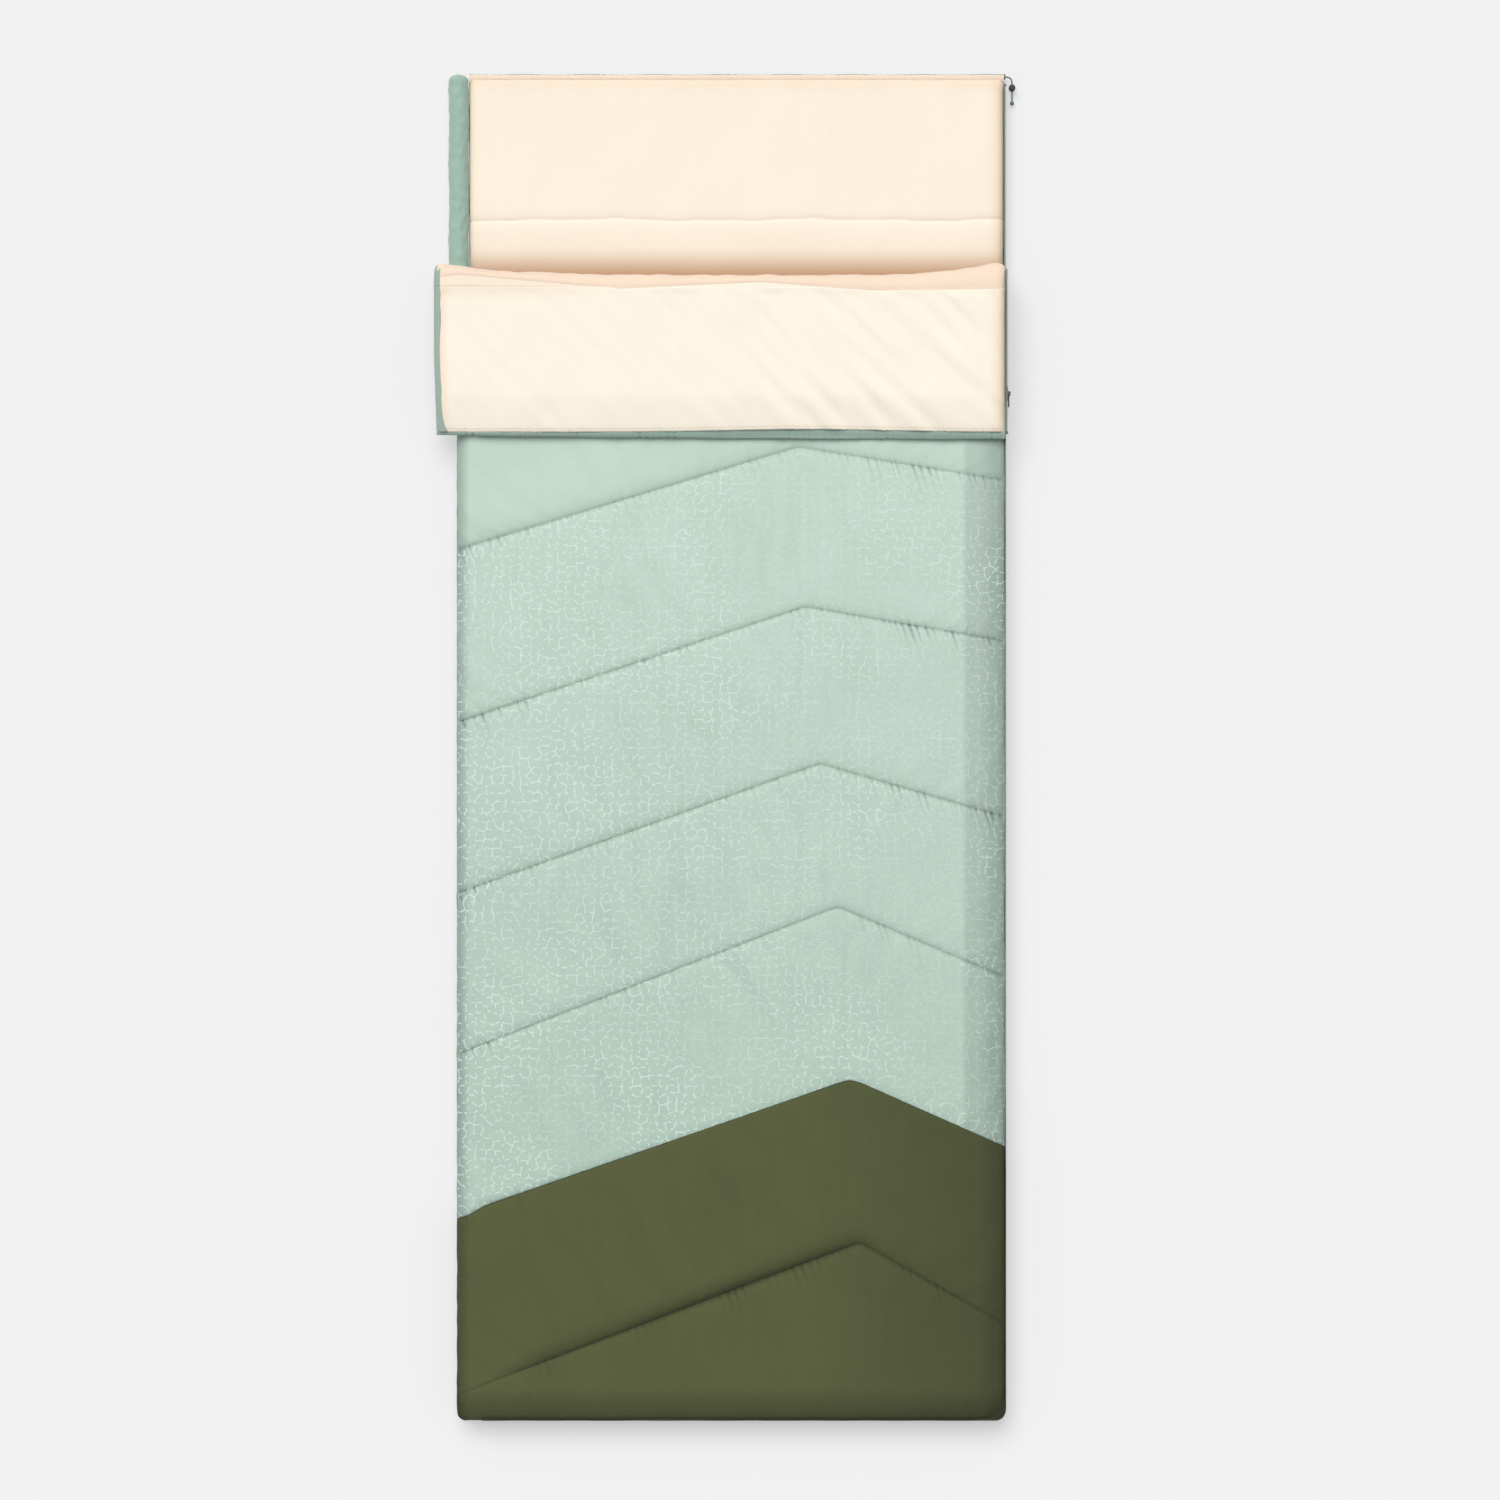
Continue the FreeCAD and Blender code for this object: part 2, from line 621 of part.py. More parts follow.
PIECES = [
    bottom_shell, bottom_batting, bottom_lining, bottom_head_hem,
    draft_tube_cover, draft_tube_filling,
    top_shell, foot_shell, top_batting, top_lining, left_side_fold, crease_roll,
    flap_shell, flap_batting, flap_lining, flap_hem_binding,
    lower_zip_tape, lower_zip_coil, upper_zip_tape, upper_zip_coil, flap_zip_tape, flap_zip_coil,
    lower_top_stop, flap_top_stop, zip_bottom_stop,
    slider_body, pull_tab,
    drawcord_in_hem, drawcord_tail, drawcord_knot, drawcord_eyelet,
    cord_lock_barrel, cord_lock_plunger, cord_lock_spring,
]

os.makedirs("parts", exist_ok=True)
for piece in PIECES:
    shape = piece()
    shape.exportStep("parts/" + piece.__name__ + ".step")
    solids = len(shape.Solids)
    print(piece.__name__, "solids", solids, "valid", shape.isValid(), "volume", round(shape.Volume, 1))
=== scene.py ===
from math import cos, pi, radians, sin

import bpy
import numpy as np
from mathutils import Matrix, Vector


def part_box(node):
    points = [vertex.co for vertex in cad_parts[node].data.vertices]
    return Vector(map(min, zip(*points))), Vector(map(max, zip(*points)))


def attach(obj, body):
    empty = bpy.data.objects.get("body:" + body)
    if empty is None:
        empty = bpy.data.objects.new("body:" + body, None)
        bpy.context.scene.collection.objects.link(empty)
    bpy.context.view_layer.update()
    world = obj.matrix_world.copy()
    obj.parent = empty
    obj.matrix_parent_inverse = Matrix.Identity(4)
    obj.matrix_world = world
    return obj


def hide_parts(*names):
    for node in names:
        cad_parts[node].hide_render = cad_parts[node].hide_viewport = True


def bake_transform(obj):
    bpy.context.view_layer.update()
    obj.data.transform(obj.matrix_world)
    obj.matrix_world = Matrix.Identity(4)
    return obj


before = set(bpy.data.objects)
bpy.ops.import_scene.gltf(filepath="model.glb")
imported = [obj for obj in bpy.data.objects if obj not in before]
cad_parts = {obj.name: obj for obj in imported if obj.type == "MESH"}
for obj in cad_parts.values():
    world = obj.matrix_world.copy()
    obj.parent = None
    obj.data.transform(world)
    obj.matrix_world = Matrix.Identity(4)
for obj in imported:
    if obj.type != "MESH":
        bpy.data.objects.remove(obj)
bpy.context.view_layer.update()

# ---- Camera ----
# A long lens straight above the bag, with the head of the bag at the top of the picture.
camera_data = bpy.data.cameras.new("camera")
camera = bpy.data.objects.new("camera", camera_data)
bpy.context.scene.collection.objects.link(camera)
bpy.context.scene.camera = camera
camera_height = 8.0
picture_width = 2.106
camera_data.lens = camera_data.sensor_width * camera_height / picture_width
camera_data.clip_end = 40.0
camera.location = (0.0246, -0.0049, camera_height + 0.055)


# ---- Drawcord tail ----
# Braided cord, 2 mm, that leaves the eyelet at the end of the head hem, passes through the lock and ends in a knot.
def link(thing):
    bpy.context.scene.collection.objects.link(thing)
    return thing


def plain_material(name):
    """A new material with its node tree and its shader, which every recipe needs."""
    material = bpy.data.materials.new(name)
    material.use_nodes = True
    tree = material.node_tree
    shader = tree.nodes["Principled BSDF"]
    return material, tree, shader


def add_node(tree, kind, settings=None, **inputs):
    """Adds a node; settings are its own properties, and inputs are values or sockets for its named inputs."""
    node = tree.nodes.new("ShaderNode" + kind)
    for key, value in (settings or {}).items():
        setattr(node, key, value)
    for key, value in inputs.items():
        socket = node.inputs[int(key[1:]) if key[0] == "_" else key.replace("_", " ")]
        if isinstance(value, bpy.types.NodeSocket):
            tree.links.new(value, socket)
        else:
            socket.default_value = value
    return node


def new_group(name, inputs, outputs):
    """An empty shader node group with those named sockets, and its inner input and output nodes."""
    group = bpy.data.node_groups.new(name, "ShaderNodeTree")
    for socket, kind, value in inputs:
        made = group.interface.new_socket(socket, in_out="INPUT", socket_type="NodeSocket" + kind)
        if value is not None:
            made.default_value = value
    for socket, kind in outputs:
        group.interface.new_socket(socket, in_out="OUTPUT", socket_type="NodeSocket" + kind)
    return group, group.nodes.new("NodeGroupInput"), group.nodes.new("NodeGroupOutput")


def linear(red, green, blue):
    """A colour given in screen values from 0 to 255, as linear light."""
    channels = [c / 255 for c in (red, green, blue)]
    light = [c / 12.92 if c <= 0.04045 else ((c + 0.055) / 1.055) ** 2.4 for c in channels]
    return (*light, 1.0)


def woven_group():
    """Crossing threads: shade varies from 0 in the gaps to 1 on the threads."""
    group, given, result = new_group(
        "woven",
        [("Vector", "Vector", None), ("Threads per metre", "Float", 900.0), ("Unevenness", "Float", 0.3)],
        [("Height", "Float"), ("Shade", "Float")],
    )
    links = group.links
    waves = []
    for axis in ("X", "Y"):
        wave = add_node(group, "TexWave", {"bands_direction": axis, "wave_profile": "SIN"},
                        Vector=given.outputs["Vector"], Scale=given.outputs["Threads per metre"],
                        Distortion=0.6, Detail=1.0)
        waves.append(wave.outputs["Fac"])
    cross = add_node(group, "Math", {"operation": "MAXIMUM"}, _0=waves[0], _1=waves[1])
    cloud = add_node(group, "TexNoise", None, Vector=given.outputs["Vector"], Scale=380.0, Detail=3.0)
    uneven = add_node(group, "Math", {"operation": "MULTIPLY"}, _0=cloud.outputs["Fac"],
                      _1=given.outputs["Unevenness"])
    height = add_node(group, "Math", {"operation": "ADD"}, _0=cross.outputs[0], _1=uneven.outputs[0])
    links.new(height.outputs[0], result.inputs["Height"])
    links.new(cross.outputs[0], result.inputs["Shade"])
    return group


def mottle_group():
    """Dye and handling marks: a colour drifts a little darker and lighter over the cloth."""
    group, given, result = new_group(
        "mottle",
        [("Color", "Color", None), ("Vector", "Vector", None), ("Amount", "Float", 0.05),
         ("Size per metre", "Float", 9.0)],
        [("Color", "Color")],
    )
    broad = add_node(group, "TexNoise", None, Vector=given.outputs["Vector"],
                     Scale=given.outputs["Size per metre"], Detail=4.0, Roughness=0.55)
    fine = add_node(group, "TexNoise", None, Vector=given.outputs["Vector"], Scale=420.0, Detail=2.0)
    both = add_node(group, "Math", {"operation": "MULTIPLY_ADD"}, _0=fine.outputs["Fac"], _1=0.5,
                    _2=broad.outputs["Fac"])
    centred = add_node(group, "Math", {"operation": "SUBTRACT"}, _0=both.outputs[0], _1=0.75)
    scaled = add_node(group, "Math", {"operation": "MULTIPLY_ADD"}, _0=centred.outputs[0],
                      _1=given.outputs["Amount"], _2=1.0)
    toned = add_node(group, "VectorMath", {"operation": "SCALE"}, _0=given.outputs["Color"],
                     Scale=scaled.outputs[0])
    group.links.new(toned.outputs[0], result.inputs["Color"])
    return group


WOVEN = woven_group()
MOTTLE = mottle_group()


def place_group(tree, group, **inputs):
    node = tree.nodes.new("ShaderNodeGroup")
    node.node_tree = group
    for key, value in inputs.items():
        socket = node.inputs[key.replace("_", " ")]
        if isinstance(value, bpy.types.NodeSocket):
            tree.links.new(value, socket)
        else:
            socket.default_value = value
    return node


def painted_edge_shade(tree, place, tone, band, strip_from=0.322, strip_to=0.330):
    """Painted shade in the shell's colour: darker on a strip where the quilt falls away to the zip, along its rolled
    edges, at the foot and in its folds.
    """
    axes = add_node(tree, "SeparateXYZ", None, Vector=place)
    x, y = axes.outputs["X"], axes.outputs["Y"]
    # painted shade: darker on the strip where the quilt falls away to the zip, at the rolled zip and left edges and
    # at the foot
    strip = add_node(tree, "MapRange", None, Value=x, From_Min=strip_from, From_Max=strip_to, To_Min=1.0,
                     To_Max=band)
    zip_side_shade = add_node(tree, "MapRange", None, Value=x, From_Min=0.345, From_Max=0.382, To_Min=1.0, To_Max=0.69)
    left_edge = add_node(tree, "MapRange", None, Value=x, From_Min=-0.383, From_Max=-0.368, To_Min=0.64,
                         To_Max=1.0)
    foot_shade = add_node(tree, "MapRange", None, Value=y, From_Min=-0.944, From_Max=-0.900, To_Min=0.60,
                         To_Max=1.0)
    # painted shade in the folds, seam valleys and gathers, read from the fold_shade attribute
    depth = add_node(tree, "Attribute", {"attribute_name": "fold_shade"}).outputs["Fac"]
    fold = add_node(tree, "MapRange", None, Value=depth, From_Min=0.0, From_Max=1.0, To_Min=1.0, To_Max=0.58)
    share = strip.outputs["Result"]
    for edge in (zip_side_shade, left_edge, foot_shade, fold):
        share = add_node(tree, "Math", {"operation": "MULTIPLY"}, _0=share, _1=edge.outputs["Result"]).outputs[0]
    start = tone if isinstance(tone, bpy.types.NodeSocket) else tone[:3]
    return add_node(tree, "VectorMath", {"operation": "SCALE"}, _0=start, Scale=share).outputs[0]


def fabric(name, color, roughness=0.7, sheen=0.15, threads=700.0, relief=0.00012, amount=0.12,
           foot_color=None, change=(0.45, -0.5), size=9.0, band=1.0, crinkle=0.0003, strip=(0.322, 0.330),
           edge_shade_color=None):
    """Woven cloth: crossing threads as relief, dye that drifts, a colour that may change towards the foot, and
    painted shade at its edges and in its folds where asked.
    """
    material, tree, shader = plain_material(name)
    place = add_node(tree, "TexCoord").outputs["Object"]
    tone = color
    if foot_color:
        along = add_node(tree, "SeparateXYZ", None, Vector=place)
        share = add_node(tree, "MapRange", None, Value=along.outputs["Y"], From_Min=change[0],
                         From_Max=change[1])
        mix = add_node(tree, "Mix", {"data_type": "RGBA"}, _0=share.outputs["Result"], _6=color, _7=foot_color)
        tone = mix.outputs[2]
    # painted shade beside the zip, along the rolled edges, at the foot and in the folds
    if band < 1:
        tone = painted_edge_shade(tree, place, tone, band, *strip)
    # painted shade: the lining turns warmer and darker near its rolled edges, by the fold_shade attribute
    if edge_shade_color:
        near = add_node(tree, "Attribute", {"attribute_name": "fold_shade"})
        edge_shaded = add_node(tree, "Mix", {"data_type": "RGBA"}, _0=near.outputs["Fac"], _6=tone, _7=edge_shade_color)
        tone = edge_shaded.outputs[2]
    mottled = place_group(tree, MOTTLE, Color=tone, Vector=place, Amount=amount, Size_per_metre=size)
    weave = place_group(tree, WOVEN, Vector=place, Threads_per_metre=threads)
    creases = add_node(tree, "TexNoise", None, Vector=place, Scale=130.0, Detail=4.0, Roughness=0.6, Distortion=1.2)
    crumpled = add_node(tree, "Bump", None, Strength=0.7, Distance=crinkle, Height=creases.outputs["Fac"])
    bump = add_node(tree, "Bump", None, Strength=0.6, Distance=relief, Height=weave.outputs["Height"],
                    Normal=crumpled.outputs["Normal"])
    tree.links.new(mottled.outputs["Color"], shader.inputs["Base Color"])
    tree.links.new(bump.outputs["Normal"], shader.inputs["Normal"])
    shader.inputs["Roughness"].default_value = roughness
    shader.inputs["Sheen Weight"].default_value = sheen
    shader.inputs["Sheen Roughness"].default_value = 0.5
    shader.inputs["Specular IOR Level"].default_value = 0.3
    return material


cord_green = fabric("cord_green", linear(92, 116, 102), threads=1500.0, relief=0.0003, amount=0.3)
cord_radius = 0.001
tail_route = [
    (0.3850, 0.9450, 0.0125),
    (0.3906, 0.9446, 0.0123),
    (0.3942, 0.9406, 0.0106),
    (0.3947, 0.9346, 0.0087),
    (0.3945, 0.9286, 0.0082),
    (0.3947, 0.9226, 0.0079),
    (0.3946, 0.9168, 0.0058),
    (0.3946, 0.9110, 0.0058),
]
tail_curve = bpy.data.curves.new("drawcord_tail_braid", "CURVE")
tail_curve.dimensions = "3D"
spline = tail_curve.splines.new("NURBS")
spline.points.add(len(tail_route) - 1)
for point, place in zip(spline.points, tail_route):
    point.co = (*place, 1.0)
spline.order_u = 3
spline.use_endpoint_u = True
tail_curve.resolution_u = 12
tail_curve.bevel_depth = cord_radius
tail_curve.bevel_resolution = 4
tail_curve.use_fill_caps = True
tail = link(bpy.data.objects.new("drawcord_tail_braid", tail_curve))
tail.data.materials.append(cord_green)
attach(tail, "bottom_panel")
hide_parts("drawcord_tail")


# ---- Floor and light ----
# A plain pale floor under soft light from above, a little stronger from the head side.
floor_mesh = bpy.data.meshes.new("floor")
reach = 9.0
floor_mesh.from_pydata([(-reach, -reach, -0.0006), (reach, -reach, -0.0006), (reach, reach, -0.0006),
                        (-reach, reach, -0.0006)], [], [(0, 1, 2, 3)])
floor = link(bpy.data.objects.new("floor", floor_mesh))
floor_paint, _, floor_shader = plain_material("floor_paint")
floor_shader.inputs["Base Color"].default_value = (0.40, 0.40, 0.40, 1)
floor_shader.inputs["Roughness"].default_value = 1.0
floor_shader.inputs["Specular IOR Level"].default_value = 0.0
floor_shader.inputs["Emission Color"].default_value = (1, 1, 1, 1)
floor_shader.inputs["Emission Strength"].default_value = 0.43
floor.data.materials.append(floor_paint)

world = bpy.data.worlds.new("studio")
bpy.context.scene.world = world
world.use_nodes = True
world.node_tree.nodes["Background"].inputs["Color"].default_value = (1, 1, 1, 1)
world.node_tree.nodes["Background"].inputs["Strength"].default_value = 0.42
bpy.context.scene.view_settings.view_transform = "Standard"

key_data = bpy.data.lights.new("key", "SUN")
key_data.energy = 2.55
key_data.angle = radians(42)
key = link(bpy.data.objects.new("key", key_data))
key.rotation_euler = Vector((0.16, -0.48, -1.0)).to_track_quat("-Z", "Y").to_euler()


# ---- Top quilt ----
# Light green shell above an olive foot shell, sewn through the batting along chevrons that point to the head.
# Each half is a sheet of cloth; the seams pull it down into the batting, and it puffs and gathers between them.
crease_y = 0.644
top_left, top_right, foot_y = -0.387, 0.383, -0.947
top_face = 0.0575
edge_level = 0.0455
corner_round = 0.013


def along(places):
    """A line across the quilt through those places, with its corners a little rounded, as a function of x."""
    xs = np.array([p[0] for p in places])
    ys = np.array([p[1] for p in places])

    def line(x):
        spread = 0.006
        return (np.interp(x - spread, xs, ys) + 2 * np.interp(x, xs, ys) + np.interp(x + spread, xs, ys)) / 4
    return line


seam_1 = along([(-0.3870, 0.2755), (0.0920, 0.4206), (0.3870, 0.3726)])
seam_2 = along([(-0.3870, 0.0330), (0.1018, 0.1959), (0.3870, 0.1464)])
seam_3 = along([(-0.3870, -0.2071), (0.1229, -0.0246), (0.3870, -0.1010)])
seam_4 = along([(-0.3870, -0.4332), (0.1482, -0.2254), (0.3870, -0.3270)])
foot_join = along([(-0.3870, -0.6640), (-0.3700, -0.6585), (-0.3480, -0.6450), (0.1500, -0.4720),
                   (0.1640, -0.4680), (0.1800, -0.4720), (0.3870, -0.5640)])
foot_seam = along([(-0.3870, -0.9105), (0.1790, -0.6972), (0.3870, -0.8147)])


def spaced(count, gather):
    """Places from 0 to 1, closer together at both ends by that share."""
    t = np.linspace(0, 1, count + 1)
    return (1 - gather) * t + gather * (0.5 - 0.5 * np.cos(pi * t))


def face_grid(left, right, lines, rows, columns, gather=0.82):
    """Rows of points that follow the lines from the first to the last, and columns that run from edge to edge."""
    x = left + (right - left) * spaced(columns, 0.55)
    curves = [line(x) for line in lines]
    bands = []
    for upper, lower in zip(curves, curves[1:]):
        t = spaced(rows, gather)[:-1, None]
        bands.append(upper * (1 - t) + lower * t)
    y = np.vstack([*bands, curves[-1][None]])
    return np.repeat(x[None], len(y), 0), y, curves


def soft_noise(x, y, size, seed, stretch=1.0, angle=0.0):
    """Smooth random relief of about that size, between -1 and 1, drawn out along a line at that angle from y."""
    rng = np.random.default_rng(seed)
    across = x * cos(angle) + y * sin(angle)
    down = (y * cos(angle) - x * sin(angle)) / stretch
    total = 0
    for _ in range(16):
        heading = rng.uniform(0, 2 * pi)
        wave = size * rng.uniform(0.6, 1.6)
        turn = rng.uniform(0, 2 * pi)
        total = total + np.cos(2 * pi * (across * cos(heading) + down * sin(heading)) / wave + turn)
    return total / 5.6


def cloth_mesh(name, points, material):
    """A smooth sheet through a grid of points."""
    rows, columns = points.shape[:2]
    index = np.arange(rows * columns).reshape(rows, columns)
    quads = np.stack([index[:-1, :-1], index[1:, :-1], index[1:, 1:], index[:-1, 1:]], -1).reshape(-1, 4)
    mesh = bpy.data.meshes.new(name)
    mesh.from_pydata(points.reshape(-1, 3).tolist(), [], quads.tolist())
    mesh.polygons.foreach_set("use_smooth", [True] * len(quads))
    mesh.materials.append(material)
    mesh.update()
    sheet = link(bpy.data.objects.new(name, mesh))
    return sheet


def slack_cloth(x, y, curves):
    """How far a slack sheet rises when it is sewn down along the curves and at its edges and filled from below."""
    rows, columns = x.shape
    flat = np.stack([x, y, np.zeros_like(x)], -1)
    index = np.arange(rows * columns).reshape(rows, columns)
    quads = np.stack([index[:-1, :-1], index[1:, :-1], index[1:, 1:], index[:-1, 1:]], -1).reshape(-1, 4)
    mesh = bpy.data.meshes.new("slack")
    mesh.from_pydata(flat.reshape(-1, 3).tolist(), [], quads[:, ::-1].tolist())
    sheet = link(bpy.data.objects.new("slack", mesh))
    sewn = np.zeros(x.shape, bool)
    sewn[[0, -1]] = True
    sewn[:, [0, -1]] = True
    for curve in curves:
        sewn |= np.abs(y - curve) < 1e-6
    held = sheet.vertex_groups.new(name="sewn")
    held.add(np.flatnonzero(sewn.ravel()).tolist(), 1.0, "REPLACE")
    cloth = sheet.modifiers.new("cloth", "CLOTH")
    work = cloth.settings
    work.vertex_group_mass = "sewn"
    work.quality = 3
    work.mass = 0.15
    work.tension_stiffness = work.compression_stiffness = 15
    work.shear_stiffness = 2
    work.bending_stiffness = 0.02
    work.air_damping = 5
    work.shrink_min = -0.012
    work.use_pressure = True
    work.uniform_pressure_force = 1.5
    work.effector_weights.gravity = 0
    last = 18
    cloth.point_cache.frame_start = 1
    cloth.point_cache.frame_end = last
    for step in range(1, last + 1):
        bpy.context.scene.frame_set(step)
    risen = np.zeros(rows * columns * 3, np.float32)
    sheet.evaluated_get(bpy.context.evaluated_depsgraph_get()).data.vertices.foreach_get("co", risen)
    bpy.context.scene.frame_set(1)
    bpy.data.objects.remove(sheet)
    return risen.reshape(rows, columns, 3)[:, :, 2].astype(float)


def blurred(values, times):
    """Evens out a grid of values, so that what is left over is the wrinkles."""
    for _ in range(times):
        padded = np.pad(values, 1, mode="edge")
        values = (padded[:-2, 1:-1] + padded[2:, 1:-1] + padded[1:-1, :-2] + padded[1:-1, 2:] + 2 * values) / 6
    return values


def rolled(distance, width, depth):
    """How far a rolled edge has dropped at that distance inside it."""
    inside = np.clip(distance / width, 0, 1)
    return depth * (1 - np.sqrt(np.clip(1 - (1 - inside) ** 2, 0, 1)))


def fall(distance, width, depth, bend=1.6):
    """How far a surface that slopes away to its edge has dropped at that distance inside the edge."""
    return depth * np.clip(1 - distance / width, 0, 1) ** bend


def step_up(value, low, high):
    """0 below low, 1 above high and smooth between."""
    t = np.clip((value - low) / (high - low), 0, 1)
    return t * t * (3 - 2 * t)


top_lines = [lambda x: np.full_like(x, crease_y), seam_1, seam_2, seam_3, seam_4, foot_join, foot_seam,
             lambda x: np.full_like(x, foot_y)]
band_rows = 46
coarse_columns = 104
top_x, top_y, top_curves = face_grid(top_left, top_right, top_lines, band_rows, 3 * coarse_columns)
# depth of each seam in millimetres at its left end, middle and right end, and its reach to the head side
seam_shapes = [
    (top_curves[1], (4.4, 3.8, 2.4), 0.012),
    (top_curves[2], (4.0, 3.4, 3.6), 0.008),
    (top_curves[3], (3.8, 3.6, 3.4), 0.008),
    (top_curves[4], (3.6, 3.2, 3.4), 0.008),
    (top_curves[5], (2.4, 0.6, 0.9), 0.005),
    (top_curves[6], (0.8, 9.0, 2.0), 0.013),
]


def seam_relief(x, y, shapes):
    """Depth of the valleys that the seams make, and how strongly the cloth gathers below each."""
    depth = 0
    gathers = 0
    across = np.array([top_left + 0.03, 0.0, 0.36])
    for number, (curve, depths, head_reach) in enumerate(shapes):
        slope = np.gradient(curve, x[0])
        distance = (y - curve) / np.sqrt(1 + slope ** 2)
        deep = np.interp(x[0], across, depths) / 1000
        deepest = max(depths) / 1000
        above = np.exp(-np.clip(distance, 0, None) / head_reach)
        below = np.exp(-np.clip(-distance, 0, None) / 0.0045)
        pulled = np.clip(np.interp(x[0], across, depths) / 3, 0.12, 1) * min(1.0, deepest / 0.002)
        stitched = pulled * 0.0020 * np.exp(-np.abs(distance) / 0.0017)
        depth = depth + deep * np.where(distance > 0, above, below) + stitched
        strength = np.exp(-np.clip(-distance, 0, None) / 0.013) * (distance <= 0)
        strength = strength + 0.35 * np.exp(-np.clip(distance, 0, None) / 0.005) * (distance > 0)
        gathers = gathers + strength * (deep / 0.004) * fold_lines(x + 0.35 * distance, number)
    return depth, gathers


def fold_lines(across, seed):
    """Short uneven folds that run away from a seam: narrow valleys between broad crests."""
    rng = np.random.default_rng(40 + seed)
    total = 0
    for _ in range(9):
        wave = rng.uniform(0.0065, 0.013)
        total = total + np.cos(2 * pi * across / wave + rng.uniform(0, 2 * pi))
    bunch = 0.5 + 0.5 * np.cos(2 * pi * across / 0.19 + rng.uniform(0, 2 * pi))
    return -np.clip(total / 3.0, 0, None) ** 1.5 * (0.55 + 0.45 * bunch)


coarse_puff = slack_cloth(top_x[:, ::3], top_y[:, ::3], [curve[::3] for curve in top_curves[1:-1]])
coarse_wrinkles = coarse_puff - blurred(coarse_puff, 30)
top_wrinkles = np.array([np.interp(line, line[::3], row) for line, row in zip(top_x, coarse_wrinkles)])
relief, gathers = seam_relief(top_x, top_y, seam_shapes)
right_side = step_up(top_x, 0.05, 0.25)
left_end = step_up(-top_x, 0.33, 0.375)
upper_half = step_up(top_y, -0.30, -0.05)
gather_depth = 0.0010 + 0.0022 * right_side * upper_half + 0.0016 * left_end
edge_drop = (
    fall(top_x - top_left, 0.019, 0.0085, 1.15) + rolled(top_x - top_left, 0.008, 0.0035)
    + fall(top_right - top_x, 0.058, 0.0085, 1.5) + rolled(top_right - top_x, 0.007, 0.004)
    + fall(top_y - foot_y, 0.040, 0.008, 1.5) + rolled(top_y - foot_y, 0.009, 0.005)
)
broad = 0.0012 * soft_noise(top_x, top_y, 0.22, 3) + 0.0004 * soft_noise(top_x, top_y, 0.05, 5, 2.0, 0.3)
side_fade = 0.25 + 0.75 * step_up(np.minimum(top_x - top_left, top_right - top_x), 0.0, 0.006)
top_z = (
    top_face - 0.0015 + side_fade * (gather_depth * gathers - relief) + 0.40 * top_wrinkles + broad
    - np.minimum(edge_drop, top_face - edge_level)
)
top_z[:, [0, -1]] = np.maximum(top_z[:, [0, -1]], edge_level - 0.0006)
into_corner = np.clip(1 - (top_y - foot_y) / corner_round, 0, 1)
tuck = corner_round * (1 - np.sqrt(1 - into_corner ** 2))
side_wave = 0.0009 * fold_lines(top_y, 17) * np.exp(-(top_x - top_left) / 0.010)
top_points = np.stack([np.clip(top_x, top_left + tuck, top_right - tuck) - side_wave, top_y, top_z], -1)

join_row = 5 * band_rows
bunched = np.clip(-gathers * gather_depth / 0.0022, 0, 1)


def band_shade(curve, start, end, reach, strength):
    """A soft shade on the head side of a seam, where the baffle above it overhangs."""
    slope = np.gradient(curve, top_x[0])
    distance = (top_y - curve) / np.sqrt(1 + slope ** 2)
    along_seam = step_up(top_x, start, start + 0.10) * step_up(-top_x, -end, -end + 0.10)
    return strength * along_seam * (distance > -0.0005) * np.exp(-(np.clip(distance, 0, None) / reach) ** 1.6)


# Painted shade for the shell's colour: the head side of some seams, the seam valleys, the gathers and the wrinkle
# valleys.
overhang = (
    band_shade(top_curves[1], -0.40, 0.16, 0.013, 0.10)
    + band_shade(top_curves[5], -0.45, 0.45, 0.009, 0.22)
    + band_shade(top_curves[6], -0.36, 0.22, 0.012, 0.85)
)
wrinkle_valleys = 90 * np.clip(-top_wrinkles - 0.0006, 0, None)
folds_shade = np.clip(overhang + 0.85 * bunched + 0.8 * (relief / 0.0115) ** 1.25 + wrinkle_valleys, 0, 1)


def keep_shade(piece, values):
    """Stores a weight for painted shade at each point: how deep in a fold it lies on the shells, how near a rolled
    edge on the linings.
    """
    layer = piece.data.attributes.new("fold_shade", "FLOAT", "POINT")
    layer.data.foreach_set("value", values.ravel().astype(np.float32))


mint = linear(188, 208, 196)
mint_foot = linear(172, 194, 181)


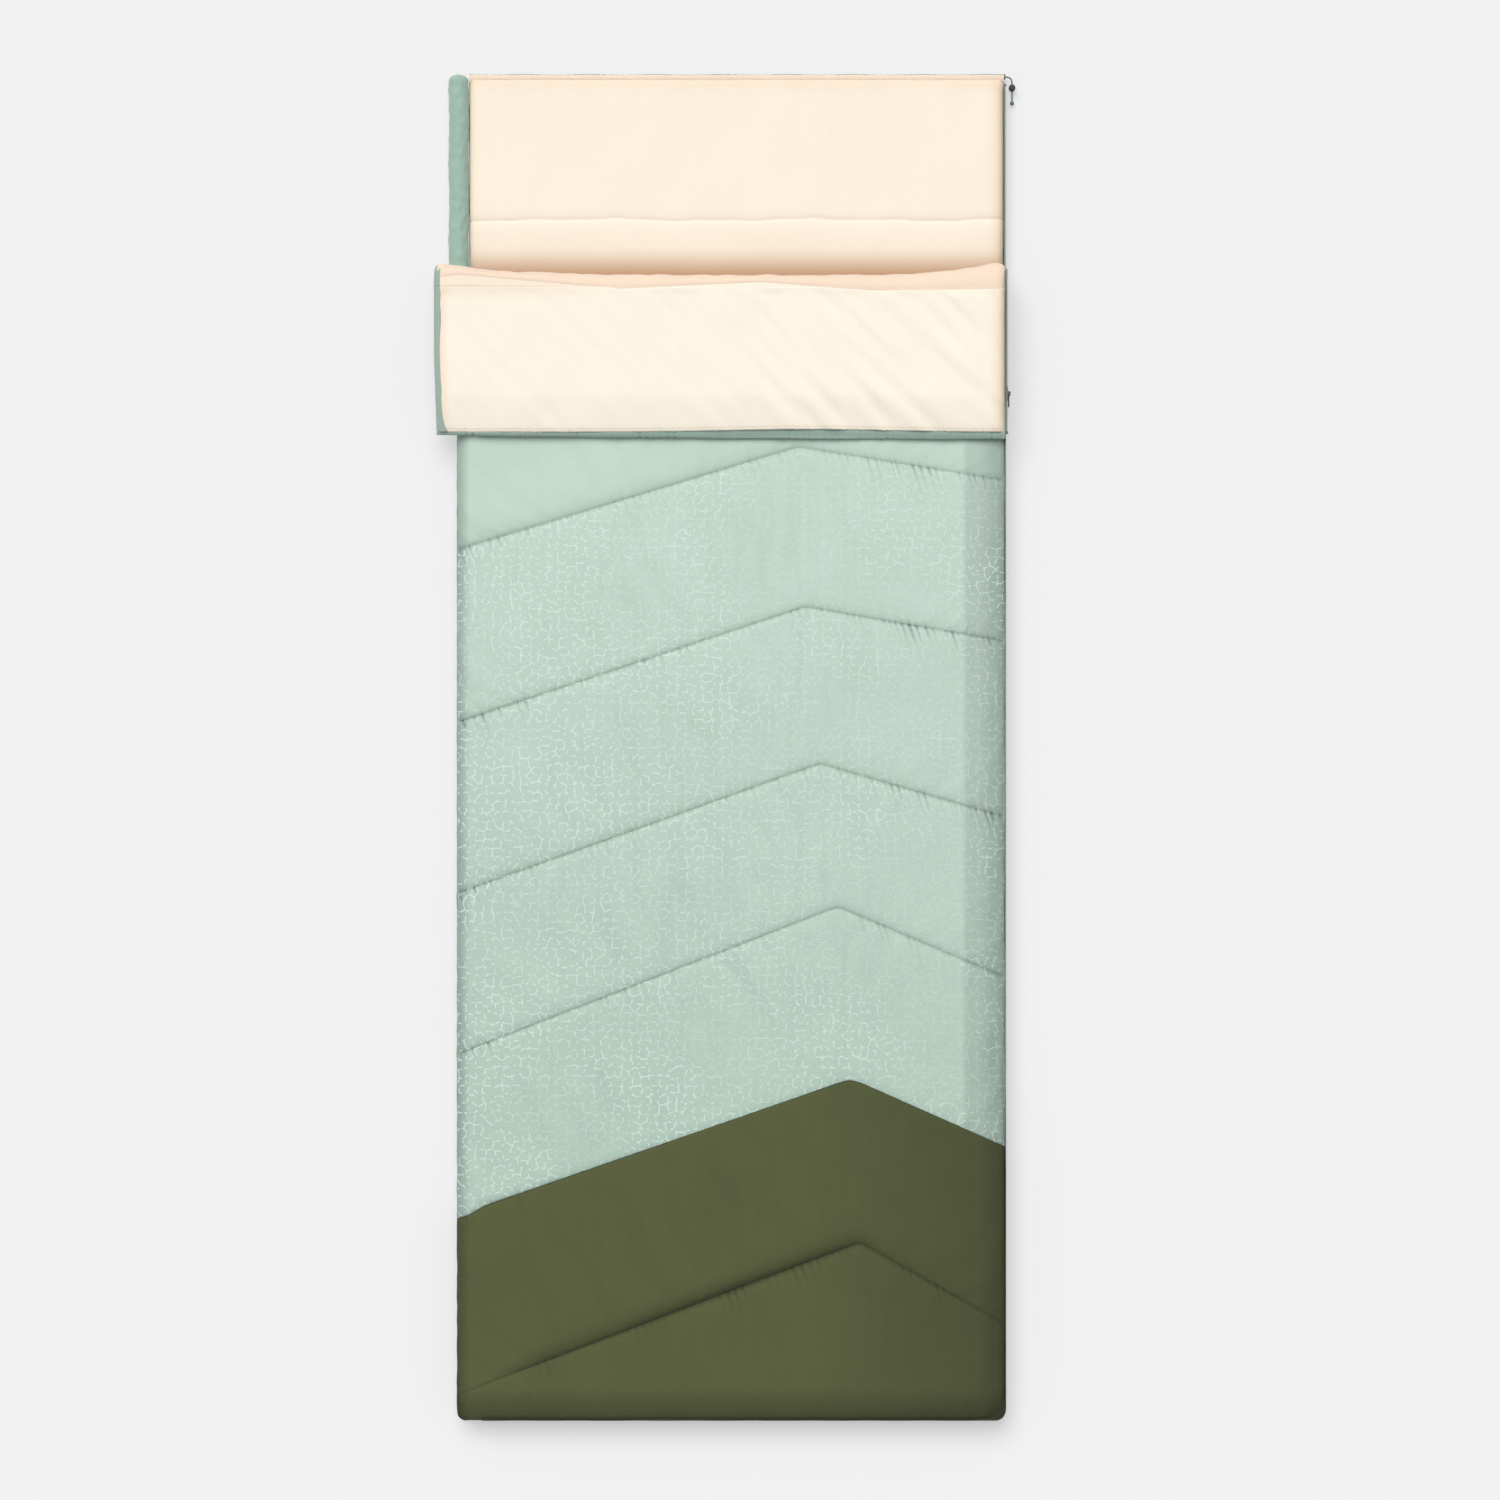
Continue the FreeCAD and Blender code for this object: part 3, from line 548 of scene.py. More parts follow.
def printed_mint():
    """The shell of the baffles: the same cloth with a faint print of short branching strokes, one shade lighter,
    with a painted sheen that shows the print more strongly towards the left.
    """
    # band: painted shade beside the zip, at the edges, at the foot and in the folds
    material = fabric("mint_print", mint, 0.6, 0.2, foot_color=mint_foot, band=0.82, crinkle=0.0013)
    tree = material.node_tree
    shader = tree.nodes["Principled BSDF"]
    base = shader.inputs["Base Color"].links[0].from_socket
    place = add_node(tree, "TexCoord").outputs["Object"]
    cells = add_node(tree, "TexVoronoi", {"feature": "DISTANCE_TO_EDGE", "voronoi_dimensions": "2D"}, Vector=place,
                     Scale=78.0, Randomness=0.7)
    stroke = add_node(tree, "MapRange", None, Value=cells.outputs["Distance"], From_Min=0.085, From_Max=0.04)
    cloud = add_node(tree, "TexNoise", {"noise_dimensions": "2D"}, Vector=place, Scale=150.0, Detail=0.0)
    broken = add_node(tree, "MapRange", None, Value=cloud.outputs["Fac"], From_Min=0.46, From_Max=0.52)
    patches = add_node(tree, "TexNoise", {"noise_dimensions": "2D"}, Vector=place, Scale=6.0, Detail=3.0)
    side = add_node(tree, "SeparateXYZ", None, Vector=place)
    # painted sheen: the print shows more strongly towards the left; patches vary it at random
    sheen_to_left = add_node(tree, "Math", {"operation": "MULTIPLY_ADD"}, _0=side.outputs["X"], _1=-0.35,
                        _2=patches.outputs["Fac"])
    print_sheen = add_node(tree, "MapRange", None, Value=sheen_to_left.outputs[0], From_Min=0.33, From_Max=0.66,
                     To_Min=0.22, To_Max=0.72)
    mask = add_node(tree, "Math", {"operation": "MULTIPLY"}, _0=stroke.outputs["Result"],
                    _1=broken.outputs["Result"])
    shown = add_node(tree, "Math", {"operation": "MULTIPLY"}, _0=mask.outputs[0], _1=print_sheen.outputs["Result"])
    inked = add_node(tree, "Mix", {"data_type": "RGBA"}, _0=shown.outputs[0], _6=base, _7=linear(210, 230, 219))
    tree.links.new(inked.outputs[2], shader.inputs["Base Color"])
    return material


# band: painted shade beside the zip, at the edges, at the foot and in the folds
mint_plain = fabric("mint_plain", linear(187, 208, 195), 0.6, 0.2, band=0.84, crinkle=0.0007)
mint_printed = printed_mint()
# band and strip: painted shade, darkening across the olive's right part towards the zip, at the edges, the foot and
# in the folds
olive = fabric("olive", linear(80, 86, 50), 0.75, 0.1, threads=520.0, relief=0.0002, amount=0.2, band=0.70,
               crinkle=0.0009, strip=(0.10, 0.37))

top_shell = cloth_mesh("top_shell_cloth", top_points[:join_row + 1], mint_plain)
keep_shade(top_shell, folds_shade[:join_row + 1])
top_shell.data.materials.append(mint_printed)
rows_below_first_seam = np.repeat(np.arange(join_row) >= band_rows, top_points.shape[1] - 1)
top_shell.data.polygons.foreach_set("material_index", rows_below_first_seam.astype(np.int32))
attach(top_shell, "top_panel")
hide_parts("top_shell", "top_batting")

foot_shell = cloth_mesh("foot_shell_cloth", top_points[join_row:], olive)
keep_shade(foot_shell, folds_shade[join_row:])
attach(foot_shell, "top_panel")
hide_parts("foot_shell")


# ---- Quilting thread ----
# Polyester thread, lockstitched along every seam of the top quilt, about six stitches to 25 mm.
thread_mint = fabric("thread_mint", linear(150, 176, 163), 0.5, 0.2, threads=3000.0)
thread_olive = fabric("thread_olive", linear(52, 57, 34), 0.5, 0.2, threads=3000.0)


def stitches(name, line_points, material, body, length=0.0030, gap=0.0011, thick=0.0004):
    """Short raised stitches laid end to end along a line of points."""
    steps = np.linalg.norm(np.diff(line_points, axis=0), axis=1)
    run = np.concatenate([[0], np.cumsum(steps)])
    starts = np.arange(0.002, run[-1] - length, length + gap)
    verts, faces = [], []
    for start in starts:
        ends = [np.array([np.interp(start + share * length, run, line_points[:, k]) for k in range(3)])
                for share in (0, 0.5, 1)]
        heading = (ends[2] - ends[0]) / max(np.linalg.norm(ends[2] - ends[0]), 1e-9)
        side = np.cross(heading, (0, 0, 1))
        base = len(verts)
        for spot, lift, width in zip(ends, (0, thick, 0), (0.3, 1, 0.3)):
            for angle in (0, pi / 2, pi, 3 * pi / 2):
                upwards = np.array([0, 0, 1]) * (sin(angle) * thick * width + lift)
                offset = side * cos(angle) * thick * width + upwards
                verts.append(tuple(spot + offset))
        for ring in (0, 4):
            for k in range(4):
                n = (k + 1) % 4
                faces.append((base + ring + k, base + ring + n, base + ring + 4 + n, base + ring + 4 + k))
        faces.append((base + 3, base + 2, base + 1, base))
        faces.append((base + 8, base + 9, base + 10, base + 11))
    mesh = bpy.data.meshes.new(name)
    mesh.from_pydata(verts, [], faces)
    mesh.polygons.foreach_set("use_smooth", [True] * len(faces))
    mesh.materials.append(material)
    thread = link(bpy.data.objects.new(name, mesh))
    if body:
        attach(thread, body)
    return thread


for number in range(1, 7):
    row = top_points[number * band_rows]
    thread = thread_mint if number < 5 else thread_olive
    stitches(f"quilting_thread_{number}", row + (0, 0, 0.0001), thread, "top_panel")


# ---- Top quilt lining ----
# Cream brushed cotton on the underside of the top quilt, sewn through along the same chevrons.
def closed_cloth(piece, thickness=0.0006):
    """Gives a sheet of cloth its thickness, inwards from the face that was drawn."""
    thick = piece.modifiers.new("thickness", "SOLIDIFY")
    thick.thickness = thickness
    thick.offset = -1.0
    thick.use_even_offset = False
    return piece


def lining_cloth(name, color, amount=0.03, crinkle=0.0006, edge_shade_color=None):
    """The soft matt cloth of every lining."""
    return fabric(name, color, 0.85, 0.25, threads=650.0, relief=0.00025, amount=amount, crinkle=crinkle,
                  edge_shade_color=edge_shade_color)


lining_cream = lining_cloth("lining_cream", linear(248, 236, 218))
# a darker, warmer copy of the lining cream: painted shade on the crease roll and the inside of the head hem
lining_turned_shaded = lining_cloth("lining_turned_shaded", linear(241, 217, 195), amount=0.10, crinkle=0.0015)
closed_cloth(top_shell)
closed_cloth(foot_shell)

low_x, low_y, low_curves = face_grid(top_left, top_right, top_lines, 16, 90)
low_relief, low_gathers = seam_relief(low_x, low_y, [
    (curve, (3.0, 3.0, 3.0), 0.009) for curve in low_curves[1:-1]
])
low_roll = (
    rolled(low_x - top_left, 0.016, 0.0125) + rolled(top_right - low_x, 0.014, 0.0125)
    + rolled(low_y - foot_y, 0.018, 0.0125)
)
low_z = 0.0335 + low_relief - 0.0006 * low_gathers + 0.0006 * soft_noise(low_x, low_y, 0.11, 8) + low_roll
low_z = low_z + 0.0040 * step_up(low_y, 0.612, 0.636)
low_z = np.clip(low_z, 0.0330, edge_level)
low_tuck = corner_round * (1 - np.sqrt(1 - np.clip(1 - (low_y - foot_y) / corner_round, 0, 1) ** 2))
low_points = np.stack([np.clip(low_x, top_left + low_tuck, top_right - low_tuck), low_y, low_z], -1)
top_lining = closed_cloth(cloth_mesh("top_lining_cloth", low_points[:, ::-1], lining_cream))
top_lining.data.materials.append(mint_plain)
top_lining.data.materials.append(olive)


def edge_shell(piece, is_edge):
    """The shell wraps over the quilt's edge, light above the foot join and olive below it."""
    picks = []
    for face in piece.data.polygons:
        at = face.center
        picks.append(0 if not is_edge(at) else (1 if at.y > foot_join(np.array([at.x]))[0] else 2))
    piece.data.polygons.foreach_set("material_index", picks)


edge_shell(top_lining, lambda at: at.z > 0.0385)
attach(top_lining, "top_panel")
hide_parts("top_lining")


# ---- Bottom quilt ----
# The same construction with straight seams: cream lining above, light green shell below, on a green base.
bottom_left, bottom_right, head_y = -0.3865, 0.383, 0.940
notch_left = -0.3715


def bottom_seam(y, seed):
    """A straight seam across the quilt that wanders by a millimetre or two."""
    rng = np.random.default_rng(seed)
    turns = rng.uniform(0, 2 * pi, 3)
    return lambda x: (y + 0.0012 * np.cos(2 * pi * x / 0.31 + turns[0])
                      + 0.0009 * np.cos(2 * pi * x / 0.13 + turns[1])
                      + 0.0005 * np.cos(2 * pi * x / 0.058 + turns[2]))


bottom_lines = [lambda x: np.full_like(x, head_y)]
bottom_seams = (0.743, 0.520, 0.300, 0.080, -0.140, -0.360, -0.580, -0.800)
bottom_lines += [bottom_seam(y, n) for n, y in enumerate(bottom_seams)]
bottom_lines += [lambda x: np.full_like(x, -0.9462)]
base_x, base_y, base_curves = face_grid(bottom_left, bottom_right, bottom_lines, 30, 190)
# the draft tube takes the place of the quilt's left edge near the head
left_here = bottom_left + (notch_left - bottom_left) * step_up(base_y, 0.646, 0.655)
share = (base_x - bottom_left) / (bottom_right - bottom_left)
base_x = left_here + (bottom_right - left_here) * share
base_relief, base_gathers = seam_relief(base_x, base_y, [
    (curve, (2.0, 1.7, 2.2), 0.007) for curve in base_curves[1:-1]
])
base_tuck = 0.013 * (1 - np.sqrt(1 - np.clip(1 - (base_y + 0.9462) / 0.013, 0, 1) ** 2))
base_roll = rolled(base_x - left_here, 0.013, 1.0) + rolled(bottom_right - base_x, 0.013, 1.0)
base_roll = np.minimum(base_roll + rolled(base_y + 0.9462, 0.016, 1.0), 1.0)
head_roll = rolled(head_y - base_y, 0.016, 0.0032)
streaks = soft_noise(base_x, base_y, 0.030, 11, 7.0, 0.06) * (0.3 + 0.7 * step_up(base_y, 0.70, 0.78))
base_z = (
    0.0247 - base_relief + 0.0007 * base_gathers + 0.0005 * streaks
    + 0.0008 * soft_noise(base_x, base_y, 0.16, 12)
    - 0.0075 * step_up(-base_y, -0.735, -0.655) * step_up(base_y, 0.50, 0.62)
)
lining_z = np.clip(base_z - head_roll - 0.0122 * base_roll, 0.0125, 0.0262)
lining_points = np.stack([np.clip(base_x, left_here + base_tuck, bottom_right - base_tuck), base_y, lining_z], -1)


def lining_with_painted_fold_shadow():
    """The lining again, with a painted shadow across the bag where the fold rests over it, and painted shade near
    its edges.
    """
    material = lining_cloth("lining_painted_fold_shadow", linear(248, 236, 218), edge_shade_color=linear(243, 220, 194))
    tree = material.node_tree
    shader = tree.nodes["Principled BSDF"]
    base = shader.inputs["Base Color"].links[0].from_socket
    axes = add_node(tree, "SeparateXYZ", None, Vector=add_node(tree, "TexCoord").outputs["Object"])
    # painted shadow: darker and warmer within 5 cm of the line where the fold rests, y = 0.658
    away = add_node(tree, "Math", {"operation": "SUBTRACT"}, _0=axes.outputs["Y"], _1=0.658)
    apart = add_node(tree, "Math", {"operation": "ABSOLUTE"}, _0=away.outputs[0])
    near = add_node(tree, "MapRange", {"interpolation_type": "SMOOTHSTEP"}, Value=apart.outputs[0], From_Min=0.050,
                    From_Max=0.0, To_Min=0.0, To_Max=1.0)
    fold_shadow = add_node(tree, "Mix", {"data_type": "RGBA"}, _0=near.outputs["Result"], _6=base,
                    _7=linear(196, 156, 122))
    tree.links.new(fold_shadow.outputs[2], shader.inputs["Base Color"])
    return material


bottom_lining = closed_cloth(cloth_mesh("bottom_lining_cloth", lining_points, lining_with_painted_fold_shadow()))
# painted shade on the bottom lining: warmer and darker towards its head end and both sides
edge_shade_weight = 0.75 * (1 - step_up(head_y - base_y, -0.004, 0.024))
edge_shade_weight = edge_shade_weight + 0.9 * (1 - step_up(bottom_right - base_x, 0.004, 0.026))
edge_shade_weight = edge_shade_weight + 0.4 * (1 - step_up(base_x - left_here, 0.0, 0.020))
keep_shade(bottom_lining, np.clip(edge_shade_weight, 0, 1))
bottom_lining.data.materials.append(mint_plain)
bottom_lining.data.materials.append(olive)
edge_shell(bottom_lining, lambda at: at.z < (0.0195 if at.y < 0.64 else 0.0145))
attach(bottom_lining, "bottom_panel")
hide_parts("bottom_lining")

under_z = np.clip(0.0008 + 0.5 * base_relief + 0.0125 * base_roll + rolled(head_y - base_y, 0.014, 0.003), 0.0001,
                  0.0125)
under_points = np.stack([lining_points[:, :, 0], base_y, under_z], -1)
bottom_shell = closed_cloth(cloth_mesh("bottom_shell_cloth", under_points[::3, ::-2], mint_plain))
bottom_shell.data.materials.append(mint_plain)
bottom_shell.data.materials.append(olive)
edge_shell(bottom_shell, lambda at: True)
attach(bottom_shell, "bottom_panel")
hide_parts("bottom_shell", "bottom_batting")

thread_cream = fabric("thread_cream", linear(226, 208, 186), 0.5, 0.2, threads=3000.0)
for number in range(1, len(base_curves) - 1):
    stitches(f"bottom_quilting_thread_{number}", lining_points[number * 30] + (0, 0, 0.0001), thread_cream,
             "bottom_panel")


# ---- Head hem ----
# Lining turned over the drawcord and stitched down; a line of green shell shows along its outer edge.
hem_green = fabric("hem_green", linear(156, 181, 168), 0.75, 0.2, threads=700.0, relief=0.0002, amount=0.2)


def loop_mesh(name, points, materials):
    """A closed tube through rings of points, with its two ends filled."""
    rings, around = points.shape[:2]
    index = np.arange(rings * around).reshape(rings, around)
    index = np.hstack([index, index[:, :1]])
    quads = np.stack([index[:-1, :-1], index[:-1, 1:], index[1:, 1:], index[1:, :-1]], -1).reshape(-1, 4).tolist()
    quads.append(list(range(around))[::-1])
    quads.append(list(range((rings - 1) * around, rings * around)))
    mesh = bpy.data.meshes.new(name)
    mesh.from_pydata(points.reshape(-1, 3).tolist(), [], quads)
    mesh.polygons.foreach_set("use_smooth", [True] * len(quads))
    for material in materials:
        mesh.materials.append(material)
    mesh.update()
    tube = link(bpy.data.objects.new(name, mesh))
    return tube


def hem_tube(x, joined_y, outer_y, low, high, power=2.6):
    """Rings along x whose section is a rounded bar between two heights and two lines in y."""
    angle = np.linspace(0, 2 * pi, 28, endpoint=False)
    across = np.sign(np.cos(angle)) * np.abs(np.cos(angle)) ** (2 / power)
    up = np.sign(np.sin(angle)) * np.abs(np.sin(angle)) ** (2 / power)
    y = (joined_y + outer_y)[:, None] / 2 + across * (outer_y - joined_y)[:, None] / 2
    z = (low + high)[:, None] / 2 + up * (high - low)[:, None] / 2
    return np.stack([np.repeat(x[:, None], 28, 1), y, z], -1)


hem_x = np.linspace(-0.3712, 0.3828, 420)
hem_wave = 0.0006 * fold_lines(hem_x, 3) + 0.0005 * np.cos(2 * pi * hem_x / 0.093 + 1.0)
hem_points = hem_tube(hem_x, np.full_like(hem_x, 0.9355), 0.9488 + hem_wave, np.full_like(hem_x, 0.0032),
                      0.0214 + 0.8 * hem_wave)
head_hem = loop_mesh("head_hem_cloth", hem_points, [lining_turned_shaded, hem_green])
outside = [1 if face.center.y > 0.9472 or face.center.z < 0.011 else 0 for face in head_hem.data.polygons]
head_hem.data.polygons.foreach_set("material_index", outside)
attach(head_hem, "bottom_panel")
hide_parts("bottom_head_hem")
hem_line = np.stack([hem_x, np.full_like(hem_x, 0.9415), 0.0212 + 0.8 * hem_wave], -1)
stitches("head_hem_thread", hem_line, thread_cream, "bottom_panel")


# ---- Draft tube ----
# A tube of shell cloth stuffed with batting, sewn along the left edge near the head; it wrinkles across its length.
tube_y = np.linspace(0.6555, 0.9478, 170)
around = np.linspace(0, 2 * pi, 40, endpoint=False)
from_end = np.clip(np.minimum(tube_y - 0.6552, 0.9481 - tube_y) / 0.010, 0, 1)
end_close = np.sqrt(np.clip(1 - (1 - from_end) ** 2, 0.02, 1))
tube_wrinkle = soft_noise(np.repeat(tube_y[:, None], 40, 1), 0.02 * np.repeat(around[None], 170, 0), 0.018, 21)
tube_swell = end_close[:, None] * (1 + 0.045 * tube_wrinkle)
tube_centre = -0.3862 + 0.0006 * np.cos(2 * pi * tube_y / 0.11)
tube_points = np.stack([
    tube_centre[:, None] + 0.0141 * tube_swell * np.cos(around),
    np.repeat(tube_y[:, None], 40, 1),
    0.0158 + 0.0143 * tube_swell * np.sin(around),
], -1)
# darker than the shell cloth the tube is made of: painted shade along the draft tube
tube_satin_shaded = fabric("tube_satin_shaded", linear(150, 178, 164), 0.5, 0.35, threads=900.0, relief=0.0001, amount=0.1)
draft_tube = loop_mesh("draft_tube_cloth", tube_points[:, ::-1], [tube_satin_shaded])
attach(draft_tube, "bottom_panel")
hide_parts("draft_tube_cover", "draft_tube_filling")


# ---- Flap ----
# The head part of the top quilt, turned down: its lining is now on top, with a band of shell at its left edge.
# a lighter copy of the lining cream: painted light on the raised flap, with painted shade at its edges
lining_flap_lit = lining_cloth("lining_flap_lit", linear(250, 241, 224), edge_shade_color=linear(244, 223, 200))
# a darker copy of the shell cloth: painted shade on the flap's left band and the roll's shell end, where the quilt
# curves down
mint_edge_shaded = fabric("mint_edge_shaded", linear(152, 171, 160), 0.6, 0.2, amount=0.25, crinkle=0.0009)
crease_seam = along([(-0.4215, 0.6560), (-0.3827, 0.6615), (-0.1580, 0.6410), (0.0386, 0.6505), (0.1931, 0.6385),
                     (0.3827, 0.6410)])
flap_low, flap_middle = 0.0585, 0.071
flap_right = 0.3829
edge_round = 0.0125
flap_hem_y = 0.441
flap_rows = spaced(56, 0.35)[:, None]


def flap_end(x):
    """The flap's own cloth ends at the crease line; the roll carries the rest."""
    return np.minimum(crease_seam(x), 0.6438) - 0.0004


def hem_edge(x):
    """Where the lining ends at the hem: a line that wanders up a little in the middle."""
    return flap_hem_y - 0.0005 + 0.0038 * np.exp(-((x - 0.10) / 0.16) ** 2) + 0.0006 * fold_lines(x, 19)


def thinned(y, z):
    """The quilt thins towards the hem, where the filling ends."""
    near = np.clip(1 - (y - 0.4305) / 0.062, 0, 1) ** 1.3
    return flap_low + (z - flap_low) * (1 - 0.45 * near)


def flap_left(y):
    """The flap's left edge slants out a little towards the crease, as far as leaves the draft tube free."""
    return np.maximum(-0.4148 - 0.0065 * (y - flap_hem_y) / 0.2, -0.4184)


def flap_face(columns, first, last):
    """Points across the flap from one distance inside the left edge to the right edge, rows from crease to hem."""
    share = spaced(columns, 0.5)[None]
    guess = -0.4186 + (last + 0.4186) * share
    y = flap_end(guess) * (1 - flap_rows) + hem_edge(guess) * flap_rows
    left = flap_left(y) + first(y)
    return left + (last - left) * share, y


def band_width(y):
    """The band of shell beside the lining, wider where the lining's corner is turned in at the hem."""
    return 0.0088 + 0.0055 * np.exp(-np.clip(y - flap_hem_y, 0, None) / 0.012)


face_x, face_y = flap_face(220, band_width, flap_right)
slanted = soft_noise(face_x, face_y, 0.034, 31, 5.0, radians(42)) * (0.35 + 0.65 * step_up(face_x, -0.08, 0.12))
hem_pucker = fold_lines(face_x, 7) * np.exp(-np.clip(face_y - flap_hem_y, 0, None) / 0.014)
seam_pucker = fold_lines(face_x, 8) * np.exp(-np.clip(crease_seam(face_x) - face_y, 0, None) / 0.016)
side_roll = rolled(flap_right - face_x, 0.013, edge_round) + rolled(face_x - flap_left(face_y), edge_round, 0.0118)
hem_roll = rolled(face_y - flap_hem_y + 0.001, 0.012, 0.0035)
loose_z = (
    0.0824 + 0.0019 * slanted + 0.0009 * soft_noise(face_x, face_y, 0.13, 32) + 0.0006 * hem_pucker
    + 0.0012 * seam_pucker - hem_roll
)
meeting = step_up(face_y - flap_end(face_x), -0.012, -0.0004)
face_z = np.minimum(loose_z, 0.0848) * (1 - meeting) + 0.0826 * meeting - side_roll
face_z = thinned(face_y, face_z)
flap_lining = closed_cloth(cloth_mesh("flap_lining_cloth", np.stack([face_x, face_y, face_z], -1), lining_flap_lit))
# painted shade on the flap lining: warmer and darker towards its sides and, on its left part, towards the crease
side_shade_weight = 1 - step_up(flap_right - face_x, 0.003, 0.026)
side_shade_weight = side_shade_weight + 0.8 * (1 - step_up(face_x - flap_left(face_y), 0.008, 0.024))
crease_shade_weight = 0.55 * (1 - step_up(flap_end(face_x) - face_y, 0.001, 0.022))
crease_shade_weight = crease_shade_weight * (1 - step_up(face_x, -0.30, -0.15))
keep_shade(flap_lining, np.clip(side_shade_weight + crease_shade_weight, 0, 1))
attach(flap_lining, "flap")
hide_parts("flap_lining")

# The shell goes from the band on top, round the left edge, under the flap and up to the zip.
shell_y = face_y[:, 0][:, None]
left_edge = flap_left(shell_y)
arc_start = np.arcsin(1 - band_width(shell_y) / edge_round)
shell_turn = arc_start - 0.16 + (pi - arc_start + 0.16) * np.linspace(0, 1, 16)[None]
arc_radius = np.where(np.arange(16)[None] == 0, 0.0108, edge_round)
arc_x = left_edge + edge_round - arc_radius * np.sin(shell_turn)
arc_z = flap_middle - 0.0003 + arc_radius * np.cos(shell_turn)
under_share = spaced(60, 0.3)[None, 1:]
under_x = left_edge + edge_round + (flap_right - left_edge - edge_round) * under_share
under_y = np.minimum(shell_y, 0.6436) + 0 * under_x
under_up = rolled(flap_right - under_x, 0.013, 0.0122)
under_face = flap_low + 0.0003 + 0.0003 * (1 + soft_noise(under_x, under_y, 0.12, 34)) + under_up
arc_wave = 0.0005 * soft_noise(arc_x + 0.3 * arc_z, shell_y + 0 * arc_x, 0.025, 35)
shell_points = np.stack([
    np.hstack([arc_x, under_x]),
    np.hstack([shell_y + 0 * arc_x, under_y]),
    np.hstack([thinned(shell_y, arc_z + 0.5 * arc_wave), under_face]),
], -1)
flap_shell = closed_cloth(cloth_mesh("flap_shell_cloth", shell_points[:, ::-1], mint_plain))
# the band on top takes the darker copy of the shell: painted shade
flap_shell.data.materials.append(mint_edge_shaded)
on_band = [
    1 if face.center.x < flap_left(face.center.y) + 0.0180 and face.center.z > thinned(face.center.y, 0.069) else 0
    for face in flap_shell.data.polygons
]
flap_shell.data.polygons.foreach_set("material_index", on_band)
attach(flap_shell, "flap")
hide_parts("flap_shell", "flap_batting")

binding_x = np.linspace(-0.4146, 0.3828, 420)
binding_wave = 0.0016 * fold_lines(binding_x, 12) + 0.0007 * np.cos(2 * pi * binding_x / 0.151 + 0.5)
binding_edge = np.interp(binding_x, [-0.411, -0.19, 0.09, 0.383], [0.4365, 0.4335, 0.4316, 0.4310])
binding_points = hem_tube(binding_x, hem_edge(binding_x) + 0.0030, binding_edge - 0.4 * binding_wave,
                          np.full_like(binding_x, 0.0592), 0.0717 + 0.4 * binding_wave)
outwards = np.clip((hem_edge(binding_x)[:, None] - binding_points[:, :, 1]) / 0.009, 0, 1)
binding_points[:, :, 2] = 0.0592 + (binding_points[:, :, 2] - 0.0592) * (1 - 0.42 * outwards)
flap_hem = loop_mesh("flap_hem_cloth", binding_points[:, ::-1], [hem_green])
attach(flap_hem, "flap")
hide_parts("flap_hem_binding")
hem_row = np.stack([face_x[-3], face_y[-3], face_z[-3]], -1)
stitches("flap_hem_thread", hem_row + (0, 0, 0.0001), thread_cream, "flap")


# ---- Crease roll ----
# The half turn of the quilt between the top panel and the flap, lining outwards, shell at its left end. One closed
# tube of cloth, sewn to the flap along a line.
crease_out = along([(-0.4215, 0.6770), (-0.4130, 0.6790), (-0.3830, 0.6735), (-0.3270, 0.6665), (-0.1860, 0.6620),
                    (0.0250, 0.6610), (0.2350, 0.6620), (0.3190, 0.6690), (0.3700, 0.6790), (0.3830, 0.6770)])
turn_z = 0.05825
roll_share = spaced(150, 0.6)
outer_turn = np.linspace(0, pi, 26)
inner_turn = np.linspace(pi, 0, 12)
flat_part = 5


def crease_rings():
    """Rings along x: a flat start up to the sewn line, the outer half turn, and the tight inner one."""
    rings = []
    for share in roll_share:
        ring = []
        steps = [("flat", t) for t in np.linspace(0, 1, flat_part, endpoint=False)]
        steps += [("outer", a) for a in outer_turn] + [("inner", a) for a in inner_turn]
        for kind, angle in steps:
            turned = 0.0 if kind == "flat" else angle
            left = np.interp(turned, [0, pi / 2, pi], [-0.4186, -0.4170, -0.3870])
            x = left + (flap_right - left) * share
            inset = min(x - left, flap_right - x)
            full = float(np.sqrt(max(1 - (1 - min(inset / edge_round, 1)) ** 2, 0)))
            at = np.array([x])
            sewn = crease_seam(at)[0] - crease_y
            radius = 0.0127 - 0.0124 * full if kind == "inner" else 0.0127 + 0.0122 * full
            if kind == "flat":
                begin = flap_end(at)[0] - crease_y
                hidden = 1 if angle == 0 else 0
                bulge = begin + (sewn - begin) * angle - 0.0025 * hidden
                lift = radius - 0.0006 - 0.0004 * angle - 0.0004 * hidden
            elif kind == "outer":
                start = sewn if angle < pi / 2 else 0.0
                reach = crease_out(at)[0] - crease_y
                bulge = (start + (reach - start) * sin(angle)) * (0.82 + 0.18 * full)
                lift = radius * cos(angle) - 0.0004 * max(cos(angle), 0)
                if angle < 0.4:
                    lift -= 0.0007 * np.exp(-angle / 0.12)
            else:
                bulge = radius * sin(angle)
                lift = radius * cos(angle)
            ring.append((x, crease_y + bulge, turn_z + lift))
        rings.append(ring)
    return np.array(rings)


roll_points = crease_rings()
roll_wave = soft_noise(roll_points[:, :, 0], roll_points[:, :, 2] * 3, 0.045, 41)
outer_part = slice(flat_part, flat_part + len(outer_turn))
sewn_line = roll_points[:, flat_part].copy()
roll_points[:, outer_part, 1] += 0.0012 * roll_wave[:, outer_part] * np.sin(outer_turn)
